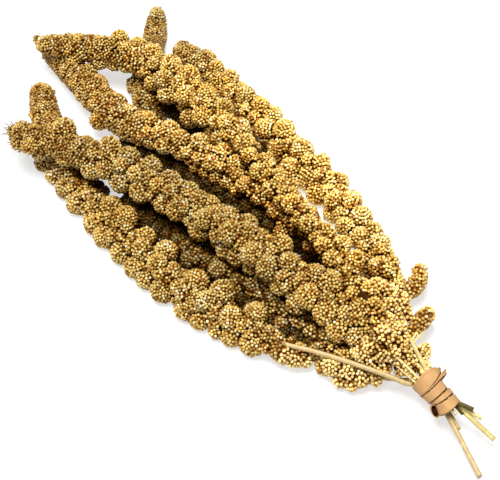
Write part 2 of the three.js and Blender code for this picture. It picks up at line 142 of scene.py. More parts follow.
DEEP = [
    ("under_left", -83.9, -45.0, 5.0, 4.6),
    ("under_left", -74.9, -42.5, 5.0, 4.6),
    ("under_left", -50.4, -36.4, 5.0, 4.6),
    ("under_left", -43.8, -34.3, 5.0, 4.6),
    ("under_left", -36.4, -32.4, 5.0, 4.6),
    ("under_left", -28.2, -30.4, 5.0, 4.6),
    ("under_left", -19.8, -28.0, 5.0, 4.6),
    ("under_left", -9.6, -27.2, 5.0, 4.6),
    ("under_left", -0.7, -26.0, 5.0, 4.6),
    ("under_left", 7.1, -24.1, 5.0, 4.6),
    ("under_left", 15.6, -22.2, 5.0, 4.6),
    ("under_left", 24.6, -21.5, 5.0, 4.6),
    ("under_left", 33.5, -20.7, 5.0, 4.6),
    ("under_left", 41.7, -18.9, 5.0, 4.6),
    ("under_left", 49.3, -16.7, 5.0, 4.6),
    ("under_left", 57.3, -14.9, 5.0, 4.6),
    ("under_left", 65.3, -13.1, 5.0, 4.6),
    ("under_left", 71.7, -11.4, 5.0, 4.6),
    ("under_left", 79.5, -9.6, 5.0, 4.6),
    ("outer_left", -40.0, -37.3, 3.0, 3.4),
    ("outer_left", -21.9, -40.0, 3.0, 3.4),
    ("outer_left", -30.8, -39.0, 3.0, 3.4),
    ("outer_left", -15.4, -38.8, 3.0, 3.2),
    ("outer_left", 1.3, -35.6, 3.0, 3.4),
    ("under_right", 21.5, 3.5, 4.0, 3.2),
    ("outer_left", -37.1, -41.1, 3.2, 3.2),
    ("outer_left", -9.1, -36.2, 3.2, 3.4),
    ("outer_left", 13.5, -34.0, 3.2, 3.4),
    ("top_long", -25.6, 40.2, 4.0, 3.2),
    ("outer_left", 27.0, -31.3, 3.2, 3.4),
    ("outer_left", 40.7, -30.8, 3.2, 3.4),
    ("under_left", -39.6, -35.0, 4.0, 4.8),
    ("under_left", -33.8, -34.9, 4.0, 4.8),
    ("under_left", -27.7, -34.5, 4.0, 4.8),
    ("under_left", -21.6, -32.9, 4.0, 4.8),
    ("under_left", -66.6, -40.4, 4.0, 3.0),
    ("under_left", -70.4, -40.9, 4.0, 3.2),
    ("under_right", -107.2, 20.1, 4.5, 4.4),
    ("under_right", -98.7, 19.9, 4.5, 4.4),
    ("under_right", -90.9, 20.1, 4.5, 4.6),
    ("under_right", -84.9, 21.6, 4.5, 4.6),
    ("under_right", -76.8, 20.1, 4.5, 4.4),
    ("under_right", -68.9, 20.7, 4.5, 4.4),
    ("under_right", -62.2, 22.2, 4.5, 4.4),
    ("under_right", -53.7, 23.6, 4.5, 4.4),
    ("under_right", -43.7, 41.6, 4.5, 4.0),
    ("under_right", -37.7, 40.1, 4.5, 3.6),
    ("under_right", -41.3, 25.6, 4.5, 4.6),
    ("under_right", -28.6, 26.0, 4.5, 4.6),
    ("under_right", -82.9, -13.1, 5.0, 4.6),
    ("under_right", -75.2, -10.3, 5.0, 4.6),
    ("under_right", -67.8, -6.7, 5.0, 4.6),
    ("under_right", -60.3, -4.0, 5.0, 4.6),
    ("under_right", -52.3, -1.7, 5.0, 4.6),
    ("under_right", -44.3, 0.6, 5.0, 4.6),
    ("under_right", -36.4, 2.9, 5.0, 4.6),
    ("under_right", -28.6, 5.2, 5.0, 4.6),
    ("under_right", -20.3, 7.0, 5.0, 4.6),
    ("under_right", -11.7, 8.4, 5.0, 4.6),
    ("under_right", -2.9, 9.0, 5.0, 4.6),
    ("under_right", 6.2, 9.2, 5.0, 4.6),
    ("under_right", 14.3, 10.1, 5.0, 4.6),
    ("under_right", 22.7, 14.6, 5.0, 4.6),
    ("under_right", 32.0, 14.3, 5.0, 4.6),
    ("under_right", 38.8, 16.1, 5.0, 4.6),
    ("under_right", -83.4, -8.2, 5.0, 4.8),
    ("under_right", -75.7, -4.2, 5.0, 4.8),
    ("under_right", -67.4, -0.7, 5.0, 4.8),
    ("under_right", -58.6, 2.5, 5.0, 4.8),
    ("under_right", -50.2, 5.2, 5.0, 4.8),
    ("under_right", -42.3, 7.4, 5.0, 4.8),
    ("under_right", -34.4, 9.7, 5.0, 4.8),
    ("under_right", -26.0, 11.5, 5.0, 4.8),
    ("under_right", -17.2, 12.9, 5.0, 4.8),
    ("under_right", -8.4, 13.5, 5.0, 4.8),
    ("under_right", 0.9, 13.6, 5.0, 4.8),
    ("under_right", 10.3, 14.1, 5.0, 4.8),
    ("under_right", 17.7, 16.3, 5.0, 4.8),
    ("under_left", -52.8, -31.0, 5.0, 4.8),
    ("under_left", -46.1, -29.0, 5.0, 4.8),
    ("under_left", -38.6, -27.0, 5.0, 4.8),
    ("under_left", -30.4, -25.0, 5.0, 4.8),
    ("under_left", -22.0, -22.7, 5.0, 4.8),
    ("under_left", -11.6, -21.9, 5.0, 4.8),
    ("under_left", -2.7, -20.7, 5.0, 4.8),
    ("under_left", 5.1, -18.9, 5.0, 4.8),
    ("under_left", 13.6, -17.0, 5.0, 4.8),
    ("under_left", 22.7, -16.3, 5.0, 4.8),
    ("under_left", 31.6, -15.5, 5.0, 4.8),
    ("under_left", 39.9, -13.7, 5.0, 4.8),
    ("under_left", 47.6, -11.6, 5.0, 4.8),
    ("under_left", 55.6, -9.8, 5.0, 4.8),
    ("under_left", 63.6, -8.0, 5.0, 4.8),
    ("under_left", 22.0, -29.8, 4.6, 4.6),
    ("under_left", 30.1, -29.0, 4.6, 4.6),
    ("under_left", 36.7, -28.2, 4.6, 4.6),
    ("under_left", 44.6, -27.4, 4.6, 4.6),
    ("under_left", 51.1, -26.7, 4.6, 4.6),
    ("under_left", 57.1, -24.5, 4.6, 4.6),
    ("under_left", 63.5, -21.9, 4.6, 4.6),
    ("under_left", 69.8, -19.4, 4.6, 4.6),
    ("outer_right", -99.5, 47.0, 5.0, 4.2),
    ("outer_right", -88.8, 46.9, 5.0, 4.2),
    ("outer_right", -78.2, 46.8, 5.0, 4.2),
    ("outer_right", -67.7, 46.7, 5.0, 4.2),
    ("outer_right", -57.2, 45.8, 5.0, 4.2),
    ("outer_right", -47.2, 44.4, 5.0, 4.0),
    ("outer_right", -38.3, 41.9, 5.0, 3.6),
    ("outer_right", 48.4, 28.9, 5.0, 4.0),
    ("outer_right", 55.0, 27.4, 5.0, 4.2),
    ("outer_right", 62.0, 25.6, 5.0, 4.2),
    ("outer_right", 70.3, 23.8, 5.0, 4.2),
]
LOBES = {
    "outer_right": [(-35.6, 53.0, 10.9, 5.7), (-19.2, 51.3, 10.9, 5.8), (-85.5, 57.1, 9.0, 4.3), (8.3, 52.3, 9.9, 4.6), (80.1, 27.2, 10.1, 3.7), (-44.1, 47.8, 9.0, 5.5), (-57.1, 54.6, 10.8, 4.9), (49.3, 41.7, 9.0, 5.5), (32.8, 44.9, 11.5, 5.3), (-121.0, 53.2, 6.1, 3.8), (4.0, 42.4, 4.9, 5.4), (-105.6, 56.1, 7.7, 5.2), (-31.1, 46.7, 5.4, 6.0), (15.8, 42.2, 11.2, 4.3), (40.8, 37.1, 9.5, 5.3), (22.0, 48.0, 11.0, 5.2), (-67.7, 53.4, 10.4, 5.2), (-48.6, 56.0, 9.7, 4.8), (61.6, 32.4, 10.0, 5.8), (42.0, 44.1, 10.5, 4.3), (72.8, 23.8, 6.0, 4.3), (-95.5, 55.0, 9.4, 4.0), (-87.8, 50.3, 9.5, 4.1), (-76.3, 50.1, 9.5, 4.4), (18.1, 41.0, 4.6, 5.1), (-16.6, 42.4, 5.4, 6.0), (-5.6, 52.3, 13.0, 4.2), (32.5, 34.7, 12.0, 4.2), (5.5, 49.4, 12.0, 4.0), (62.5, 37.2, 11.6, 3.5), (64.7, 31.9, 13.0, 4.0), (-121.9, 49.0, 4.6, 1.8), (-112.3, 48.7, 7.6, 2.8), (-121.0, 52.2, 1.8, 2.2), (-53.8, 50.9, 4.0, 5.0), (-118.3, 47.6, 4.5, 2.0), (69.7, 34.4, 6.1, 4.4), (-96.7, 50.0, 3.4, 4.3), (26.4, 43.2, 3.7, 4.6), (-116.0, 53.2, 2.0, 2.5), (-109.2, 52.2, 2.9, 3.6), (-10.5, 54.3, 5.6, 4.9), (-114.6, 55.5, 5.2, 2.9), (-6.3, 45.4, 5.1, 6.3), (-81.9, 52.2, 4.2, 5.2), (52.1, 33.7, 6.0, 5.2), (-71.7, 55.5, 3.8, 4.8), (12.6, 48.9, 3.8, 4.7), (74.0, 30.4, 10.7, 3.7), (-100.5, 50.2, 8.6, 3.5), (36.6, 44.7, 3.8, 4.6), (-106.4, 48.0, 6.8, 3.3), (-115.5, 51.7, 9.0, 2.3), (-25.1, 54.2, 4.0, 4.7), (-39.6, 54.0, 3.7, 4.7), (-123.5, 49.6, 1.5, 1.9), (-65.7, 47.2, 5.6, 3.5), (-99.6, 56.3, 2.7, 3.4), (-122.3, 55.3, 1.7, 1.7), (16.8, 51.9, 6.9, 3.2), (75.6, 28.8, 4.7, 2.4), (-28.2, 52.8, 9.9, 2.8), (57.4, 40.5, 5.5, 3.0), (9.9, 44.3, 10.2, 3.9), (40.0, 39.3, 2.8, 3.5), (-53.5, 48.0, 10.2, 3.1), (-88.3, 54.3, 2.4, 3.0), (45.2, 37.4, 3.7, 3.1), (-31.4, 52.9, 2.5, 3.1), (-110.9, 57.3, 4.5, 1.7), (-17.0, 52.1, 3.3, 4.2), (-59.4, 57.0, 4.9, 2.9), (75.7, 25.7, 10.3, 2.2), (69.1, 27.5, 8.6, 2.7), (-24.3, 48.1, 2.5, 3.2), (21.1, 49.5, 4.0, 3.4), (56.6, 40.1, 10.8, 3.0), (62.2, 35.2, 2.9, 2.8), (-82.7, 48.5, 8.3, 2.9), (3.1, 51.4, 6.2, 3.2), (-60.4, 47.8, 10.2, 3.1), (-104.6, 53.1, 1.8, 2.3), (-104.3, 49.2, 2.0, 2.4), (-113.0, 49.7, 1.4, 1.7), (33.2, 38.4, 3.1, 3.2), (-116.4, 48.4, 7.0, 1.9), (-1.1, 54.0, 4.7, 3.3), (24.1, 40.5, 8.6, 4.1), (-93.7, 56.3, 4.0, 3.0), (-82.7, 52.4, 10.7, 2.7), (-63.9, 58.1, 6.8, 2.9), (-63.2, 56.3, 2.5, 3.1), (-94.9, 49.1, 8.0, 2.5), (78.0, 24.7, 5.7, 2.0), (-26.0, 47.3, 12.2, 3.2), (-89.6, 49.9, 3.0, 2.5), (70.5, 29.3, 4.1, 2.5), (43.7, 45.4, 4.7, 3.3), (-46.7, 54.5, 3.7, 3.2), (-73.2, 49.4, 2.8, 2.9), (0.3, 46.7, 13.1, 3.3), (29.6, 48.7, 6.1, 3.4), (-111.1, 56.5, 7.1, 1.7), (-100.7, 51.9, 1.7, 2.1), (-118.3, 50.5, 1.4, 1.8), (-23.4, 46.0, 7.1, 3.2), (-119.2, 54.7, 1.5, 1.7), (-78.4, 57.9, 6.9, 2.9), (54.7, 37.5, 13.8, 3.0), (-11.1, 48.3, 13.1, 3.1), (-74.1, 55.9, 10.2, 2.9), (47.0, 33.5, 10.5, 3.0), (1.0, 48.3, 2.7, 3.4), (-38.2, 48.2, 4.7, 3.1), (-67.4, 48.7, 6.0, 3.1), (77.9, 31.3, 6.8, 2.3), (62.7, 30.8, 3.2, 2.7), (-112.2, 55.0, 1.4, 1.7), (-91.4, 51.7, 1.9, 2.4), (-113.0, 47.9, 2.9, 1.7), (-109.8, 50.7, 9.4, 1.7), (14.7, 48.4, 10.7, 3.7), (46.7, 41.8, 2.4, 3.0), (-112.8, 54.6, 8.5, 2.0), (-60.6, 50.5, 3.5, 3.6), (32.0, 39.4, 8.2, 3.7), (70.0, 32.5, 11.0, 2.8), (53.1, 39.9, 4.2, 3.5), (7.8, 46.7, 2.5, 3.0), (-40.4, 55.7, 8.6, 2.9), (-65.5, 52.1, 2.4, 3.0), (-49.0, 47.9, 5.5, 3.4), (65.0, 37.1, 6.6, 2.7), (-90.9, 55.9, 8.2, 2.8), (-64.1, 48.8, 9.2, 2.7), (31.8, 45.3, 2.5, 2.7), (-71.9, 48.9, 7.0, 3.2), (-44.2, 50.3, 3.0, 3.5), (10.5, 43.1, 4.0, 2.7), (58.5, 34.0, 3.7, 2.7), (-5.1, 51.6, 3.4, 3.0), (-115.7, 50.2, 1.8, 1.9), (-55.2, 56.8, 5.7, 2.5), (-11.6, 50.1, 2.2, 2.8), (-12.9, 45.4, 9.0, 2.9), (-86.0, 56.7, 4.3, 2.5), (21.7, 45.3, 2.6, 3.1), (-76.4, 52.8, 2.0, 2.6), (-35.5, 49.8, 2.3, 2.7), (-86.6, 48.8, 5.2, 2.4), (-2.2, 52.7, 9.8, 2.6), (-100.0, 55.8, 7.7, 2.6), (25.0, 49.4, 5.2, 2.7), (-31.2, 55.1, 6.3, 3.4), (-76.8, 49.0, 4.9, 2.8), (-0.7, 44.3, 8.0, 3.4), (66.9, 36.5, 9.3, 2.4), (-107.3, 55.4, 2.7, 2.1), (79.9, 27.1, 6.0, 1.8), (74.1, 32.2, 5.7, 1.9), (-19.9, 55.0, 6.6, 2.8), (-102.7, 48.9, 5.5, 2.4), (-91.3, 48.9, 5.9, 2.4), (-69.3, 50.4, 2.8, 2.8), (-79.7, 54.5, 10.0, 2.5)],
    "top_long": [(-88.6, 18.0, 18.9, 4.9), (12.9, 17.1, 24.6, 4.6), (-57.4, 30.1, 24.8, 4.9), (-32.1, 24.1, 23.9, 5.1), (-135.7, 8.2, 24.3, 5.2), (27.6, 15.0, 24.9, 4.4), (50.2, 10.4, 24.4, 4.2), (-2.4, 17.9, 20.9, 4.7), (-156.4, -12.2, 21.8, 3.7), (-101.1, 18.4, 18.3, 4.6), (-42.5, 29.3, 23.5, 4.8), (37.1, 17.5, 24.6, 4.3), (-14.7, 20.2, 21.7, 4.8), (-70.4, 29.1, 24.6, 5.3), (-68.7, 17.4, 17.5, 4.8), (-99.3, 27.8, 25.1, 5.7), (-86.6, 29.7, 24.7, 5.9), (58.4, 16.5, 27.1, 4.1), (-111.7, 24.9, 25.5, 5.3), (-131.5, 18.2, 26.6, 4.5), (-145.1, 0.8, 24.1, 4.8), (-121.6, 22.8, 25.3, 4.9), (74.9, 10.1, 27.8, 3.5), (-60.8, 19.7, 23.6, 5.1), (89.4, 2.0, 25.8, 2.6), (-47.0, 20.4, 18.4, 4.7), (-75.1, 20.5, 26.3, 5.2), (-47.5, 24.3, 26.4, 4.0), (-127.2, 10.3, 17.6, 4.1), (-143.1, -4.2, 16.7, 4.8), (-120.9, 14.8, 18.7, 4.5), (47.6, 18.1, 26.2, 4.2), (-133.0, 5.7, 17.5, 4.4), (-164.7, -13.2, 20.0, 1.9), (-166.8, -12.7, 20.0, 1.3), (-133.6, 15.6, 19.8, 4.0), (-38.4, 25.2, 18.1, 3.9), (-55.0, 21.6, 15.8, 4.5), (82.0, 4.9, 24.7, 2.5), (-20.8, 25.7, 19.4, 4.3), (43.7, 15.4, 21.2, 3.2), (-154.3, -4.6, 19.1, 2.7), (66.0, 8.2, 24.6, 3.7), (-141.0, 8.3, 18.8, 3.2), (-150.6, 0.7, 19.9, 2.8), (-111.9, 19.0, 19.1, 4.6), (21.2, 18.6, 19.8, 3.5), (-137.7, 0.8, 20.6, 2.7), (-149.7, -3.6, 17.1, 2.6), (-77.1, 26.2, 17.6, 5.7), (-150.8, -1.9, 25.1, 2.3), (-61.7, 26.5, 17.7, 5.2), (-144.9, -5.7, 23.0, 2.4), (85.9, 6.6, 28.1, 2.3), (-153.0, -7.2, 25.5, 2.2), (-151.7, -9.0, 17.6, 2.2), (-157.6, -6.5, 22.3, 1.9), (58.0, 9.4, 23.0, 3.5), (2.5, 23.7, 22.7, 3.9), (-146.2, 3.7, 18.3, 2.7), (-123.2, 15.7, 26.7, 3.5), (-118.2, 22.4, 17.1, 4.0), (-148.9, -5.4, 26.0, 2.2), (-149.5, -10.4, 21.0, 2.0), (-6.9, 24.0, 22.6, 3.9), (-106.0, 28.1, 18.2, 4.2), (-156.4, -8.1, 17.3, 2.1), (4.7, 17.6, 19.8, 3.6), (-93.9, 24.7, 16.1, 5.0), (-93.4, 19.7, 24.6, 4.9), (-49.3, 27.9, 17.3, 4.4), (82.6, 5.2, 28.8, 2.3), (71.2, 4.5, 25.3, 3.2), (-143.4, 7.2, 24.4, 2.5), (-139.9, 2.8, 17.0, 2.6), (42.3, 11.5, 25.8, 3.7), (-24.7, 21.4, 24.1, 3.7), (-127.5, 18.4, 17.7, 4.1), (31.6, 17.6, 20.8, 2.7), (-83.9, 22.3, 27.4, 3.7), (-125.6, 10.5, 22.6, 2.5), (-104.8, 20.9, 26.6, 2.9), (9.1, 15.1, 20.9, 2.2), (78.3, 6.5, 23.9, 1.8), (7.5, 15.5, 24.0, 2.2), (34.4, 12.7, 22.8, 2.1), (-7.6, 20.4, 17.9, 2.7), (20.2, 18.2, 27.0, 2.3), (68.7, 12.1, 24.4, 2.0), (4.7, 18.5, 25.4, 2.5), (85.3, 5.2, 25.2, 1.7), (42.4, 17.3, 25.1, 2.3), (32.6, 15.9, 26.8, 2.4), (-117.9, 14.7, 25.1, 2.4), (-27.3, 25.7, 23.6, 2.0), (-159.3, -8.8, 22.2, 1.7), (81.2, 8.2, 26.1, 2.1), (12.7, 22.1, 22.2, 2.2), (-148.2, -7.4, 18.2, 1.8), (-110.7, 18.6, 26.0, 2.7), (-159.2, -8.3, 19.2, 1.7), (54.9, 10.0, 26.8, 2.4), (55.0, 14.5, 22.9, 2.4), (-130.2, 8.3, 21.8, 2.5), (61.8, 12.5, 24.9, 1.9), (-11.9, 25.8, 20.0, 2.7), (69.9, 8.1, 27.8, 2.0), (-129.0, 12.8, 26.2, 2.4), (-43.3, 21.4, 23.9, 2.8), (10.5, 18.9, 19.7, 2.5), (-17.7, 24.0, 25.1, 2.5), (-86.8, 26.6, 16.1, 4.2), (-152.7, -2.0, 22.3, 1.7), (25.5, 19.0, 21.7, 2.4), (-15.1, 26.2, 23.6, 2.3), (-106.3, 22.1, 16.2, 2.9), (61.8, 9.3, 28.3, 2.5), (24.1, 19.6, 25.5, 2.5), (-66.7, 21.6, 26.3, 3.5), (8.2, 20.7, 25.2, 2.8), (-113.2, 25.1, 17.5, 3.1), (-149.7, -8.5, 23.5, 1.7), (51.7, 15.6, 23.9, 2.1), (83.9, 3.0, 27.2, 1.8), (-135.4, 2.8, 22.8, 1.7), (62.6, 10.2, 21.0, 2.1), (-136.6, 9.7, 16.8, 2.2), (-140.7, 6.1, 26.4, 1.9), (-138.9, 2.7, 24.2, 2.1), (-52.5, 21.2, 25.1, 3.0), (53.3, 14.8, 27.4, 2.2), (-36.6, 29.1, 22.2, 2.7), (7.7, 22.1, 20.3, 2.8), (21.3, 21.9, 23.1, 2.3), (-141.1, 11.5, 22.2, 1.7), (-18.5, 28.1, 23.7, 2.1), (38.2, 12.5, 21.7, 2.6), (-38.0, 27.2, 26.6, 2.6), (-99.7, 28.2, 16.6, 3.5), (15.9, 19.3, 19.6, 2.8), (-25.9, 26.4, 18.5, 2.4), (-31.1, 24.8, 18.0, 2.5), (-76.8, 27.9, 26.8, 3.4), (-92.8, 30.7, 20.8, 3.5), (-147.0, -8.1, 20.6, 1.7), (48.2, 15.9, 21.5, 2.4), (-106.7, 17.7, 22.4, 3.0), (74.1, 6.2, 22.4, 2.1), (-145.2, 6.6, 20.8, 1.7), (36.5, 12.6, 25.6, 2.2), (-0.1, 21.1, 26.2, 2.3), (-7.6, 20.2, 26.0, 2.3), (-137.6, 13.7, 18.9, 1.9), (20.6, 13.5, 22.1, 2.4), (-146.2, 0.4, 17.2, 1.7), (-68.7, 28.3, 17.3, 3.3), (88.2, 6.0, 25.7, 1.7), (33.9, 14.1, 19.7, 2.2), (-123.7, 22.6, 18.9, 2.4), (-132.3, 10.9, 16.7, 2.3), (-27.0, 22.5, 18.4, 2.3), (-153.4, -11.8, 18.5, 1.7), (71.2, 11.3, 26.4, 1.9), (-115.6, 19.2, 24.8, 3.5), (-11.8, 24.2, 24.6, 2.6), (17.1, 15.7, 21.8, 2.7), (-8.8, 19.4, 22.0, 3.2), (16.9, 20.5, 24.4, 2.6), (46.1, 11.6, 22.2, 2.3), (70.0, 8.7, 23.1, 2.2), (87.8, 4.3, 28.4, 1.7), (-108.9, 28.1, 22.3, 2.7), (-126.3, 18.0, 25.4, 2.4), (40.1, 14.8, 20.8, 2.0), (-63.2, 28.6, 24.7, 2.9), (-82.8, 19.5, 20.9, 3.8), (-52.4, 29.0, 23.8, 2.9), (-61.8, 20.6, 18.5, 2.9), (46.0, 10.4, 24.9, 1.8), (53.5, 12.2, 21.4, 1.9), (35.0, 17.5, 21.1, 1.9), (-42.0, 28.0, 18.4, 2.4), (-24.0, 22.2, 18.7, 2.0), (27.6, 19.9, 24.2, 2.0), (-29.3, 28.4, 20.7, 2.5), (32.5, 19.1, 24.7, 1.8), (-3.1, 23.1, 19.9, 2.3), (-11.4, 21.6, 18.5, 2.0), (-16.0, 26.3, 20.2, 2.1), (-62.8, 24.6, 26.8, 2.9), (-3.5, 22.3, 25.1, 2.5), (10.8, 22.1, 24.2, 1.9), (46.6, 14.0, 26.9, 2.1), (-54.8, 26.8, 17.8, 3.2), (23.8, 14.3, 22.0, 2.2), (-77.6, 20.1, 17.8, 3.0), (-20.1, 21.4, 24.9, 2.0), (-38.7, 23.4, 24.6, 2.5), (63.8, 11.4, 27.7, 1.7), (-21.4, 21.2, 20.1, 2.5), (54.5, 8.9, 23.0, 1.7), (-138.3, 11.6, 21.2, 2.5), (58.6, 11.3, 27.7, 1.9), (64.4, 11.5, 23.1, 2.1), (20.0, 15.5, 25.2, 2.4), (25.8, 16.2, 20.3, 2.1), (58.6, 13.5, 23.9, 2.2), (-79.4, 29.0, 22.4, 3.4), (-69.5, 23.0, 16.9, 3.4), (17.0, 16.9, 26.3, 2.0), (-0.3, 17.8, 24.9, 2.0), (-134.1, 13.8, 24.1, 2.5), (-17.2, 22.7, 18.5, 2.2), (-81.6, 26.3, 26.7, 2.9), (86.3, 3.0, 27.2, 1.7), (-92.9, 27.6, 24.8, 3.8), (-42.0, 22.6, 19.4, 2.6), (77.7, 8.9, 26.0, 1.7), (30.0, 14.1, 21.0, 1.9), (-116.7, 25.6, 22.4, 2.7), (-99.8, 23.8, 16.4, 2.8), (-125.9, 12.8, 24.8, 2.3), (-52.5, 25.9, 26.1, 2.8), (60.1, 7.6, 25.9, 1.9), (40.3, 15.9, 26.8, 1.9), (1.3, 21.5, 19.4, 2.2)],
